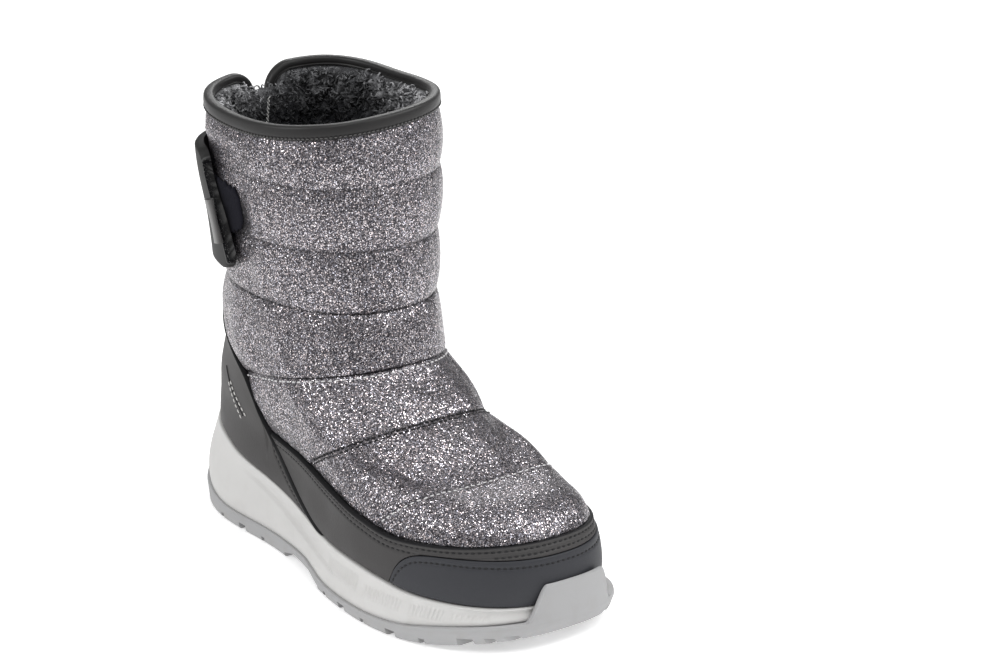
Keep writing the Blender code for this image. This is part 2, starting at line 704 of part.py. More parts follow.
def notch_cutter(cutters):
    """Slot with round shoulders through the back of the rim."""
    places = [(NOTCH_HALF, NOTCH_DEEP)] + notch_path()[1:]
    halves = []
    for side in (1, -1):
        edge = [rim_point(side * a, d, -WALL / 2)[1:] for a, d in places]
        halves.append(edge + [edge[-1] + (0.0, NOTCH_ABOVE)])
    profile = halves[0] + halves[1][::-1]
    count = len(profile)
    points = [(x, y, z) for x in NOTCH_RUN for y, z in profile]
    faces = [tuple(range(count)), tuple(range(2 * count - 1, count - 1, -1))]
    faces += [(k, (k + 1) % count, count + (k + 1) % count, count + k) for k in range(count)]
    return add_cutter("notch_cutter", points, faces, cutters)


def binding_profile(face):
    """Section of the binding: (height above the wall's edge, place across the wall)."""
    inner = WALL / 2 + GAP
    outer = inner + BINDING_THICK
    peak = GAP + BINDING_THICK
    shoulder, wide = BINDING_SHOULDER[0] * peak, BINDING_SHOULDER[1] * outer
    return ((-face, outer), (BINDING_FLAT, outer), (shoulder, wide), (peak, 0.0), (shoulder, -wide),
            (BINDING_FLAT, -outer), (-face, -outer), (-face, -inner), (GAP, -inner), (GAP, inner),
            (-face, inner))


def binding_stations():
    """Stations of the binding: distance round from the back, depth below the rim, face height."""
    pitch = column_pitch()
    arc = [(a, d, BINDING_NOTCH_FACE + (BINDING_FACE - BINDING_NOTCH_FACE) * (1 - d / BINDING_END))
           for a, d in notch_path()]
    whole = [(c * pitch, 0.0, BINDING_FACE) for c in range(2, AROUND - 1)]
    start = arc[-1][0]
    first, last = start + BINDING_STEP, AROUND * pitch - start - BINDING_STEP
    whole = [w for w in whole if first < w[0] < last]
    home = [(AROUND * pitch - a, d, f) for a, d, f in reversed(arc)]
    return arc + whole + home


def build_binding(parts):
    """Tape folded over the rim, from the notch round the front and back into the notch."""
    stations = binding_stations()
    middle = np.array([rim_point(a, d, -WALL / 2) for a, d, _ in stations])
    outside = np.array([rim_point(a, d, 0.0) for a, d, _ in stations])
    across = outside - middle
    across /= np.linalg.norm(across, axis=1, keepdims=True)
    along = np.gradient(middle, axis=0)
    up = np.cross(across, along)
    up /= np.linalg.norm(up, axis=1, keepdims=True)
    rings = []
    for k, (_, _, face) in enumerate(stations):
        profile = binding_profile(face)
        rings.append(np.array([middle[k] + a * up[k] + b * across[k] for a, b in profile]))
    count = len(rings[0])
    faces = ring_faces(len(rings), count)
    last = (len(rings) - 1) * count
    for start in (0, last):
        faces += [tuple(start + k for k in quad) for quad in
                  ((0, 1, 9, 10), (1, 2, 9), (2, 3, 9), (3, 4, 9), (4, 8, 9), (4, 5, 8), (5, 6, 7, 8))]
    return add_mesh("collar_binding", np.concatenate(rings), faces, "binding", parts)


def add_overlay(name, columns, low, high, rows, offset, thick, finish, parts, slant=0.0):
    """Overlay on the upper: an open sheet between two levels at each column, given its thickness.

    The slant is how many columns each place moves back from the lowest row to the highest.
    """
    shares = np.linspace(0.0, 1.0, rows)
    points = np.concatenate([drape(low + s * (high - low), columns + slant * (0.5 - s), offset)
                             for s in shares])
    count = len(columns)
    faces = [(r * count + i, r * count + i + 1, (r + 1) * count + i + 1, (r + 1) * count + i)
             for r in range(rows - 1) for i in range(count - 1)]
    sheet = add_mesh(name, points, split_faces(faces), finish, parts)
    body = sheet.modifiers.new("thickness", "SOLIDIFY")
    body.thickness = thick * MM
    body.offset = 1.0
    return sheet


def columns_between(first, last, extra=()):
    """Whole columns strictly between two places, with the places themselves and any others."""
    whole = [c for c in range(math.ceil(first), math.floor(last) + 1) if first + 0.2 < c < last - 0.2]
    return np.array(sorted([first, last, *whole, *extra]))


def column_where(line_one, line_two, first, last):
    """Column of the sole line at which one line of heights crosses another."""
    trial = np.linspace(first, last, 400)
    x = skin(np.full(trial.shape, float(SOLE_LEVEL)), trial, 0.0)[:, 0]
    return float(trial[np.argmin(np.abs(line_one(x) - line_two(x)))])


def resting_line(x):
    """Lower edge of the overlays, just clear of the midsole."""
    return sole_line(x) + OVERLAY_REST


def tip_line(x):
    """Height at which an overlay that runs down to the midsole is cut off."""
    return resting_line(x) + OVERLAY_TIP


def counter_ends():
    """Columns at which the counter's front edges reach the midsole."""
    lateral = column_where(counter_line, tip_line, 2.0, HALF - 4.0)
    medial = column_where(counter_line, tip_line, AROUND - 2.0, HALF + 4.0)
    return lateral, medial


def toe_cap_ends():
    """Columns at which the toe cap starts and ends at the midsole."""
    lateral = column_where(toe_cap_line, tip_line, HALF / 2, HALF - 1.0)
    medial = column_where(toe_cap_line, tip_line, AROUND - HALF / 2, HALF + 1.0)
    return lateral, medial


def toe_cap_columns():
    """Columns of the toe cap, closer together at its round corners."""
    lateral, medial = toe_cap_ends()
    return columns_between(lateral, medial, [lateral + c for c in CORNER_COLUMNS]
                           + [medial - c for c in CORNER_COLUMNS])


def build_counter(parts):
    """Heel counter: round the heel, its front edges running down to the midsole."""
    lateral, medial = counter_ends()
    columns = columns_between(medial - AROUND, lateral, [s * c for c in COUNTER_COLUMNS for s in (1, -1)])
    low = level_of(columns, resting_line)
    high = level_of(columns, counter_line)
    return add_overlay("heel_counter", columns, low, high, COUNTER_ROWS, COUNTER_GAP, OVERLAY_THICK, "overlay",
                       parts)


def build_mudguard(parts):
    """Mudguard: from the counter's edge round the toe, and down to the midsole or the toe cap."""
    first = column_where(counter_line, guard_line, 2.0, HALF - 4.0) + OVERLAY_CLEAR
    last = column_where(counter_line, guard_line, AROUND - 2.0, HALF + 4.0) - OVERLAY_CLEAR
    tips = [first + 2 * OVERLAY_CLEAR, last - 2 * OVERLAY_CLEAR]
    corners = [c for c in toe_cap_columns() if c != int(c)]
    columns = columns_between(first, last, tips + list(counter_ends()) + corners)

    def low_line(x):
        """Highest of the midsole, the counter's edge and the toe cap's edge."""
        beside = counter_line(x - COUNTER_JOIN) + COUNTER_JOIN
        return np.maximum.reduce([resting_line(x), beside, toe_cap_line(x) + TOE_CAP_JOIN])

    low = level_of(columns, low_line)
    high = level_of(columns, guard_line)
    return add_overlay("mudguard", columns, low, high, GUARD_ROWS, OVERLAY_GAP, OVERLAY_THICK, "overlay", parts)


def build_toe_cap(parts):
    """Toe cap: the lower overlay round the toe."""
    columns = toe_cap_columns()
    low = level_of(columns, resting_line)
    high = level_of(columns, toe_cap_line)
    return add_overlay("toe_cap", columns, low, high, TOE_CAP_ROWS, OVERLAY_GAP, OVERLAY_THICK, "toe_overlay",
                       parts)


def band_levels(columns, low_height, high_height):
    """Levels of a band of the shaft between two heights."""
    low = level_of(columns, lambda x: np.full_like(x, low_height))
    high = level_of(columns, lambda x: np.full_like(x, high_height))
    return low, high


def build_gusset(parts):
    """Soft panel inside the wall, behind the notch."""
    half = GUSSET_HALF / column_pitch()
    columns = columns_between(-half, half)
    rim = LEVELS[RIM, 0, 2]
    low, high = band_levels(columns, rim - GUSSET_BOTTOM, rim - GUSSET_TOP)
    deep = -WALL - BINDING_THICK - 2 * GAP - GUSSET_THICK
    return add_overlay("gusset", columns, low, high, GUSSET_ROWS, deep, GUSSET_THICK, "pile", parts)


def build_strap_patch(parts):
    """Loop-pile patch on the shaft, under the strap's free end."""
    columns = columns_between(*PATCH_ENDS)
    low, high = band_levels(columns, PATCH_LOW, PATCH_HIGH)
    return add_overlay("strap_patch", columns, low, high, PATCH_ROWS, STRAP_LIFT, PATCH_THICK, "pile", parts)


def build_strap(parts):
    """Hook-and-loop tab across the back of the shaft, with a rounded free end."""
    pitch = column_pitch()
    end_step = STRAP_ROUND / pitch
    ends = [STRAP_FREE_END - s * end_step for s in STRAP_END_SHARES]
    columns = columns_between(STRAP_SEWN_END, STRAP_FREE_END, ends)
    past = np.clip(1 - (STRAP_FREE_END - columns) / end_step, 0.0, 1.0)
    trim = STRAP_ROUND * (1 - np.sqrt(1 - past ** 2))
    low = np.concatenate([band_levels([c], STRAP_LOW + t, STRAP_HIGH)[0] for c, t in zip(columns, trim)])
    high = np.concatenate([band_levels([c], STRAP_LOW, STRAP_HIGH - t)[1] for c, t in zip(columns, trim)])
    slant = STRAP_SLANT * np.clip(columns / STRAP_FREE_END, 0.0, 1.0)
    return add_overlay("strap", columns, low, high, STRAP_ROWS, strap_offset(), STRAP_THICK, "hook_tape", parts,
                       slant)


def strap_offset():
    """Height of the strap's underside above the upper's form."""
    return STRAP_LIFT + PATCH_THICK + GAP


def build_strap_pull(parts):
    """Folded grip on the strap's free end."""
    level = band_levels([PULL_COLUMN], (STRAP_LOW + STRAP_HIGH) / 2 - PULL_DROP, STRAP_HIGH)[0]
    column = np.array([PULL_COLUMN])
    base = drape(level, column, strap_offset() + STRAP_THICK)[0]
    outward = skin(level, column, 1.0)[0] - skin(level, column, 0.0)[0]
    centre = base + outward * (PULL_LIFT + PULL_SIZE[0] / 2)
    bpy.ops.mesh.primitive_cube_add(size=1.0)
    pull = bpy.context.active_object
    pull.name = "strap_pull"
    pull.data.name = "strap_pull"
    for vertex in pull.data.vertices:
        vertex.co = [c * s * MM for c, s in zip(vertex.co, PULL_SIZE)]
    pull.location = [c * MM for c in centre]
    lean = math.asin(float(outward[2]))
    pull.rotation_euler = (0.0, -lean, math.atan2(outward[1], outward[0]))
    edge = pull.modifiers.new("edges", "BEVEL")
    edge.width = PULL_BEVEL * MM
    edge.segments = 2
    pull.data.materials.append(make_material("strap_pull", "pull_tape"))
    for owner in list(pull.users_collection):
        owner.objects.unlink(pull)
    parts.objects.link(pull)
    return pull


def main():
    """Build the boot, from the sole up."""
    clear_scene()
    parts = bpy.data.collections.new(BOOT_NAME)
    cutters = bpy.data.collections.new(BOOT_NAME + "_cutters")
    bpy.context.scene.collection.children.link(parts)
    bpy.context.scene.collection.children.link(cutters)
    build_outsole(parts, cutters)
    build_midsole(parts)
    build_insole(parts)
    build_upper(parts, cutters)
    build_mudguard(parts)
    build_counter(parts)
    build_toe_cap(parts)
    build_binding(parts)
    build_gusset(parts)
    build_strap_patch(parts)
    build_strap(parts)
    build_strap_pull(parts)


main()
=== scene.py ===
"""Dressed child's winter boot for the right foot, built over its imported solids.

Frame: +X points to the toe, +Y to the inner side of the foot, +Z up. Forms are worked out in
millimetres and become metres when a mesh is made.
"""
import logging
import math
from dataclasses import dataclass, field
from enum import Enum
from typing import Callable, Sequence

import bmesh
import bpy
import numpy as np
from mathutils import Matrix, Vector


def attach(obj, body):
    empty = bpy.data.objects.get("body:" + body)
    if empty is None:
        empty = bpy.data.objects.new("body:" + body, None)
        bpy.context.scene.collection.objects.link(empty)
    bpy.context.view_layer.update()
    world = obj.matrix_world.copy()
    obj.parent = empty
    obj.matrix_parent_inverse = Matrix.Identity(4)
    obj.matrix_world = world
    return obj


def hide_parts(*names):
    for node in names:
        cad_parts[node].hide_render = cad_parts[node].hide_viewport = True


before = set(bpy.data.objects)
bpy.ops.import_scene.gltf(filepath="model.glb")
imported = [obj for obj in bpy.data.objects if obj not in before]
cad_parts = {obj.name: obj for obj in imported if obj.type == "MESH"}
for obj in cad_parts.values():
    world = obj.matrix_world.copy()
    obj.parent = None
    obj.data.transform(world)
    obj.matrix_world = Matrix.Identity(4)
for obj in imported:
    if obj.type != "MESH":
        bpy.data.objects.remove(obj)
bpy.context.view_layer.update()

LOG = logging.getLogger("winter_boot")
MM = 0.001
AROUND = 48
HALF = AROUND // 2
BODY = "root"

Array = np.ndarray
Row = tuple[float, ...]
Span = tuple[float, float]
Sizes = tuple[float, float, float]
Ends = tuple[float, float, float, float]
Line = tuple[Span, ...]
HeightLine = Callable[[Array], Array]
Place = tuple[float, float, float]
Colour = tuple[float, float, float]
Faces = list[tuple[int, ...]]
Thing = bpy.types.Object
Material = bpy.types.Material
Node = bpy.types.Node
Socket = bpy.types.NodeSocket
Tree = bpy.types.NodeTree


class Side(Enum):
    """Side of the boot, by the sign of its y."""

    LATERAL = -1
    MEDIAL = 1


class Slot(Enum):
    """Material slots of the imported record."""

    RUBBER = "outsole_rubber"
    FOAM = "midsole_foam"
    PILE = "pile_lining"
    QUILT = "quilted_fabric"
    OVERLAY = "overlay_leather"
    TOE = "toe_overlay"
    BINDING = "binding_tape"
    STRAP = "strap_tape"
    PULL = "pull_tape"


def window(first: float, full: float, fade: float, last: float, value: Array) -> Array:
    """Share that rises from first to full and falls from fade to last."""
    return smooth_step(first, full, value) * (1 - smooth_step(fade, last, value))


def signed_power(value: Array, power: float) -> Array:
    """Power of a value's size, with the value's own sign."""
    return np.sign(value) * np.abs(value) ** power


def smooth_step(low: float, high: float, value: Array) -> Array:
    """Rise smoothly from 0 at low to 1 at high."""
    share = np.clip((np.asarray(value, float) - low) / (high - low), 0.0, 1.0)
    return share * share * (3.0 - 2.0 * share)


def bell(value: Array, width: float) -> Array:
    """Soft bump of height 1 at zero."""
    return np.exp(-(np.asarray(value, float) / width) ** 2)


def hermite(t: Array, first: Array, leaving: Array, last: Array, arriving: Array) -> Array:
    """Cubic from one value to another, with the tangents at both ends."""
    return (first * (1 + 2 * t) * (1 - t) ** 2 + leaving * t * (1 - t) ** 2
            + last * t * t * (3 - 2 * t) - arriving * t * t * (1 - t))


def line_height(line: Line, x: Array) -> Array:
    """Height of a line at x, on a smooth curve that never swings past its points.

    Args:
        line: Rows of place and height.
        x: Places to read.

    Returns:
        The heights.
    """
    places, heights = np.array(line, float).T
    steps = np.diff(places)
    slopes = np.diff(heights) / steps
    tangents = np.empty_like(heights)
    tangents[0], tangents[-1] = slopes[0], slopes[-1]
    for k in range(1, len(heights) - 1):
        before, after = slopes[k - 1], slopes[k]
        tangents[k] = 0.0 if before * after <= 0 else 2.0 * before * after / (before + after)
    at = np.clip(x, places[0], places[-1])
    k = np.clip(np.searchsorted(places, at, side="right") - 1, 0, len(steps) - 1)
    t = (at - places[k]) / steps[k]
    return hermite(t, heights[k], steps[k] * tangents[k], heights[k + 1], steps[k] * tangents[k + 1])


@dataclass(frozen=True)
class Section:
    """One closed loop of the boot: reach, half widths, corner powers, heights and rise to the inner side."""

    back: float
    front: float
    lateral: float
    medial: float
    widest: float
    back_power: float = 2.7
    front_power: float = 2.5
    line: Line = ((0.0, 0.0), (1.0, 0.0))
    lean: float = 0.0


GAP = 0.3
SEAT_LINE: Line = ((-95, 22.0), (-45, 21.0), (0, 16.5), (40, 10.0), (70, 11.0), (97, 13.4))
SOLE_LINE: Line = ((-97, 39.0), (-81, 35.0), (-70, 32.6), (-60, 29.4), (-50, 27.2), (-40, 25.6), (-22, 23.2),
                   (-4, 21.4), (12, 20.4), (34, 20.0), (48, 19.0), (64, 17.2), (80, 16.6), (98, 16.2))
TREAD_TOP_LINE: Line = ((-101, 13.5), (-90, 10.6), (-78, 8.0), (-62, 6.4), (-24, 6.6), (-4, 7.4), (16, 4.6),
                        (40, 4.8), (58, 5.6), (80, 9.0), (96, 11.0), (101, 11.6))
GROUND_LINE: Line = ((-101, 2.4), (-92, 0.0), (58, 0.0), (70, 0.8), (101, 6.0))
GUARD_LINE: Line = ((-90, 50.0), (-44, 46.8), (-24, 44.6), (-6, 43.6), (14, 41.6), (38, 38.0), (55, 35.8),
                    (70, 36.2), (95, 38.2))
COUNTER_LINE: Line = ((-92, 86.0), (-74, 84.4), (-64, 77.0), (-57, 71.2), (-48, 65.8), (-44, 62.0), (-38, 52.2),
                      (-31, 41.0), (-15, 30.2), (4, 23.4), (16, 20.9), (40, 14.0))
STRAP_SPAN = (106.5, 150.0)


@dataclass(frozen=True)
class BootForm:
    """The last that every piece follows: levels of the upper, plan of the foot, lines of the overlays."""

    inflare: float = 6.0
    inflare_start: float = 20.0
    inflare_run: float = 75.0
    waist_x: float = -29.0
    waist_run: float = 42.0
    waist_lateral: float = 10.5
    waist_medial: float = 8.0
    waist_fade: Span = (36.0, 74.0)
    fine: int = 1600
    cap_start: float = 53.0
    cap_rise: float = 17.4
    cap_run: float = 4.6
    cap_low: float = 15.6
    wall: float = 3.0
    rim_wall: float = 1.6
    # Where the pile is rooted, from the wall's outer face
    pile_floor: float = -2.8
    sections: tuple[Section, ...] = (
        Section(-88.5, 92.6, 37.0, 34.4, 0.65, 2.7, 2.5, tuple((x, z + GAP) for x, z in SEAT_LINE)),
        Section(-90.5, 95.0, 39.4, 36.6, 0.65, 2.7, 2.5, SOLE_LINE),
        Section(-89.5, 96.2, 39.6, 37.2, 0.64, 2.6, 2.4, ((-91, 52.0), (0, 37.0), (96, 27.0))),
        Section(-88.0, 91.5, 38.6, 36.4, 0.62, 2.6, 2.3, ((-90, 62.0), (0, 48.0), (92, 39.0))),
        Section(-87.0, 79.5, 36.8, 34.6, 0.60, 2.5, 2.3, ((-88, 68.0), (0, 54.5), (81, 46.2))),
        Section(-85.6, 57.0, 34.4, 30.6, 0.57, 2.4, 2.2, ((-87, 74.0), (0, 61.6), (57, 49.4))),
        Section(-84.2, 35.0, 33.6, 32.2, 0.54, 2.4, 2.2, ((-85, 80.0), (35, 61.5))),
        Section(-82.6, 13.5, 32.8, 32.6, 0.52, 2.3, 2.2, ((-83, 87.0), (14, 75.5))),
        Section(-81.5, 7.0, 32.8, 34.0, 0.50, 2.2, 2.2, ((-83, 99.0), (8, 99.0))),
        Section(-82.5, 6.0, 34.6, 36.0, 0.50, 2.2, 2.2, ((-84, 122.0), (7, 122.0))),
        Section(-84.2, 5.6, 36.6, 37.6, 0.50, 2.5, 2.3, ((-85, 146.0), (6, 145.0)), 0.03),
        Section(-83.4, 4.2, 35.2, 37.0, 0.50, 3.0, 2.35, ((-86, 169.4), (-43, 167.4), (6, 170.4)), 0.073),
    )

    @property
    def rim(self) -> int:
        """Number of the collar's level."""
        return len(self.sections) - 1

    def guard_line(self, x: Array) -> Array:
        """Top edge of the mudguard."""
        return line_height(GUARD_LINE, x)

    def counter_line(self, x: Array) -> Array:
        """Edge of the heel counter: level at the back, then down and forward to the midsole."""
        return line_height(COUNTER_LINE, x)

    def cap_line(self, x: Array) -> Array:
        """Edge of the toe cap: up from the midsole in a round corner, then level round the toe."""
        past = np.asarray(x, float) - self.cap_start
        return self.cap_low + self.cap_rise * (1 - np.exp(-past / self.cap_run))

    def cover_line(self, x: Array) -> Array:
        """Upper edge of whatever overlay lies at x."""
        return np.maximum(self.guard_line(x), self.counter_line(x))

    def plan_loop(self, section: Section, columns: Array, line: Line | None = None) -> Array:
        """Points of a loop, from the back along the lateral side to the toe and home.

        Args:
            section: The loop's reach, widths and powers.
            columns: Places round the loop, AROUND to a full turn.
            line: Height line, if not the section's own.

        Returns:
            One point for each column.
        """
        line = line or section.line
        turn = np.linspace(0.0, math.pi, self.fine + 1)
        cosine, sine = -np.cos(turn), np.sin(turn)
        middle = section.back + (section.front - section.back) * section.widest
        power = np.where(cosine > 0, 2.0 / section.front_power, 2.0 / section.back_power)
        reach = np.abs(cosine) ** power
        x = np.where(cosine > 0, middle + (section.front - middle) * reach,
                     middle - (middle - section.back) * reach)
        columns = np.asarray(columns, float) % AROUND
        points = np.empty((len(columns), 3))
        sides = ((Side.LATERAL, section.lateral, self.waist_lateral),
                 (Side.MEDIAL, section.medial, self.waist_medial))
        for side, width, waist in sides:
            z = line_height(line, x)
            pinch = waist * bell(x - self.waist_x, self.waist_run) * (1 - smooth_step(*self.waist_fade, z))
            y = side.value * (width - pinch) * np.abs(sine) ** power
            y = y + self.inflare * np.clip((x - self.inflare_start) / self.inflare_run, 0.0, None) ** 2
            run = np.concatenate([[0.0], np.cumsum(np.hypot(np.diff(x), np.diff(y)))])
            chosen = columns <= HALF if side is Side.LATERAL else columns > HALF
            share = columns[chosen] / HALF if side is Side.LATERAL else (AROUND - columns[chosen]) / HALF
            for axis, values in enumerate((x, y, z + section.lean * y)):
                points[chosen, axis] = np.interp(share * run[-1], run, values)
        return points


FORM = BootForm()


class Loft:
    """The upper's smooth outer surface over a set of columns."""

    STEP = 0.12
    LIFT = 0.03

    def __init__(self, columns: Array) -> None:
        """Work out the loops of every level at, before and after each column."""
        self.columns = np.asarray(columns, float)
        self._here = self._table(self.columns)
        self._after = self._table(self.columns + self.STEP)
        self._before = self._table(self.columns - self.STEP)

    @staticmethod
    def _table(columns: Array) -> tuple[Array, Array, Array]:
        """Loops, spans and tangents of every level."""
        loops = np.stack([FORM.plan_loop(section, columns) for section in FORM.sections])
        spans = np.linalg.norm(np.diff(loops, axis=0), axis=2)
        slopes = np.diff(loops, axis=0) / spans[:, :, None]
        tangents = np.empty_like(loops)
        tangents[0], tangents[-1] = slopes[0], slopes[-1]
        before, after = spans[:-1, :, None], spans[1:, :, None]
        tangents[1:-1] = (after * slopes[:-1] + before * slopes[1:]) / (before + after)
        return loops, spans, tangents

    @staticmethod
    def _read(table: tuple[Array, Array, Array], levels: Array) -> Array:
        """Points of one table at levels, the last axis being the columns."""
        loops, spans, tangents = table
        k = np.clip(levels.astype(int), 0, FORM.rim - 1)
        c = np.broadcast_to(np.arange(loops.shape[1]), levels.shape)
        t = (levels - k)[..., None]
        span = spans[k, c][..., None]
        return hermite(t, loops[k, c], span * tangents[k, c], loops[k + 1, c], span * tangents[k + 1, c])

    def points(self, levels: Array, offset: Array | float = 0.0) -> Array:
        """Points at levels, moved out along the surface's normal.

        Args:
            levels: Levels, the last axis being the columns.
            offset: Distance outside the surface.

        Returns:
            Points with one more axis than the levels.
        """
        levels = np.asarray(levels, float)
        here = self._read(self._here, levels)
        if np.isscalar(offset) and offset == 0.0:
            return here
        return here + np.broadcast_to(offset, levels.shape)[..., None] * self.normals(levels)

    def normals(self, levels: Array) -> Array:
        """Outward directions at levels."""
        levels = np.asarray(levels, float)
        high = self._read(self._here, np.clip(levels + self.LIFT, 0, FORM.rim))
        low = self._read(self._here, np.clip(levels - self.LIFT, 0, FORM.rim))
        normal = np.cross(self._read(self._after, levels) - self._read(self._before, levels), high - low)
        return normal / np.linalg.norm(normal, axis=-1, keepdims=True)

    def level_of(self, line: HeightLine) -> Array:
        """Level where each column first rises past a line of heights along the boot."""
        trial = np.linspace(0, FORM.rim, 60 * FORM.rim + 1)
        points = self.points(np.repeat(trial[:, None], len(self.columns), axis=1))
        above = points[..., 2] - line(points[..., 0])
        k = np.maximum(np.argmax(above >= 0, axis=0), 1)
        c = np.arange(len(self.columns))
        low, high = above[k - 1, c], above[k, c]
        share = np.clip(low / (low - high), 0.0, 1.0)
        return trial[k - 1] + share * (trial[1] - trial[0])


class Waves:
    """Seeded sums of waves round the boot, which close on themselves."""

    def __init__(self, seed: int) -> None:
        """Start the draws."""
        self._draw = np.random.default_rng(seed)

    def ripple(self, columns: Array, counts: Sequence[int]) -> Array:
        """Sum of waves of the given counts round the boot, about -1 to 1."""
        phases = self._draw.uniform(0, 2 * math.pi, len(counts))
        sizes = self._draw.uniform(0.6, 1.0, len(counts))
        total = sum(s * np.sin(2 * math.pi * n * columns / AROUND + p)
                    for n, p, s in zip(counts, phases, sizes))
        return total / math.sqrt(len(counts))


class Mesh:
    """Makes plain mesh objects from arrays."""

    @staticmethod
    def make(name: str, points: Array, faces: Faces, materials: Sequence[Material],
             values: dict[str, Array] | None = None, picks: Sequence[int] | None = None,
             sharp: float = 50.0) -> Thing:
        """Make one object with its place in its mesh.

        Args:
            name: Piece name.
            points: Points in millimetres.
            faces: Faces as point numbers.
            materials: Materials of the piece.
            values: Named numbers on the points, read by the materials.
            picks: Material number of each face.
            sharp: Angle in degrees past which an edge is sharp.

        Returns:
            The object, linked to the scene.
        """
        mesh = bpy.data.meshes.new(name)
        mesh.from_pydata((np.asarray(points, float) * MM).tolist(), [], [tuple(f) for f in faces])
        for key, numbers in (values or {}).items():
            layer = mesh.attributes.new(key, "FLOAT", "POINT")
            layer.data.foreach_set("value", np.asarray(numbers, np.float32).ravel())
        if picks is not None:
            mesh.polygons.foreach_set("material_index", np.asarray(picks, np.int32))
        form = bmesh.new()
        form.from_mesh(mesh)
        bmesh.ops.remove_doubles(form, verts=form.verts, dist=0.000002)
        bmesh.ops.recalc_face_normals(form, faces=form.faces)
        form.to_mesh(mesh)
        form.free()
        mesh.shade_smooth()
        mesh.set_sharp_from_angle(angle=math.radians(sharp))
        for material in materials:
            mesh.materials.append(material)
        return Mesh.link(name, mesh)

    @staticmethod
    def link(name: str, data: bpy.types.ID) -> Thing:
        """New object in the scene, at the origin."""
        thing = bpy.data.objects.new(name, data)
        bpy.context.scene.collection.objects.link(thing)
        return thing

    @staticmethod
    def grid_faces(rows: int, count: int, closed_rows: bool = False, closed_columns: bool = True) -> Faces:
        """Quads of a grid of rows of points, closed along either way if asked."""
        faces = []
        for r in range(rows if closed_rows else rows - 1):
            s = (r + 1) % rows
            for i in range(count if closed_columns else count - 1):
                j = (i + 1) % count
                faces.append((r * count + i, r * count + j, s * count + j, s * count + i))
        return faces

    @staticmethod
    def ladder(start: int, count: int) -> Faces:
        """Cap over one loop: rungs from the lateral side to the medial side."""
        faces = [(start, start + 1, start + count - 1)]
        faces += [(start + i, start + i + 1, start + count - i - 1, start + count - i)
                  for i in range(1, count // 2 - 1)]
        middle = count // 2
        faces.append((start + middle - 1, start + middle, start + middle + 1))
        return faces

    @classmethod
    def tube(cls, count: int, around: int) -> Faces:
        """Sweep of rings, each one row of the grid, with its two flat ends."""
        ends = [tuple(range(start, start + around)) for start in (0, (count - 1) * around)]
        return cls.grid_faces(count, around) + ends

    @classmethod
    def capped(cls, rows: int, count: int) -> Faces:
        """Stack of loops with a cap over the first and the last."""
        return cls.grid_faces(rows, count) + cls.ladder(0, count) + cls.ladder((rows - 1) * count, count)

    @staticmethod
    def settle(thing: Thing) -> Thing:
        """Turn an object's modifiers into a plain mesh and drop them."""
        bpy.context.view_layer.update()
        graph = bpy.context.evaluated_depsgraph_get()
        mesh = bpy.data.meshes.new_from_object(thing.evaluated_get(graph), preserve_all_data_layers=True,
                                               depsgraph=graph)
        thing.modifiers.clear()
        old = thing.data
        thing.data = mesh
        bpy.data.meshes.remove(old)
        mesh.name = thing.name
        return thing


def inset_loop(loop: Array, inset: Array | float) -> Array:
    """Loop moved inwards in plan."""
    along = np.roll(loop, -1, axis=0) - np.roll(loop, 1, axis=0)
    inward = np.stack([-along[:, 1], along[:, 0], np.zeros(len(loop))], 1)
    size = np.linalg.norm(inward, axis=1, keepdims=True)
    return loop + np.reshape(inset, (-1, 1)) * inward / size


def raised(loop: Array, lift: Array | float) -> Array:
    """Loop moved up."""
    moved = loop.copy()
    moved[:, 2] += lift
    return moved


def at_height(loop: Array, line: Line, lift: float = 0.0) -> Array:
    """Loop set to the height of a line."""
    moved = loop.copy()
    moved[:, 2] = line_height(line, moved[:, 0]) + lift
    return moved


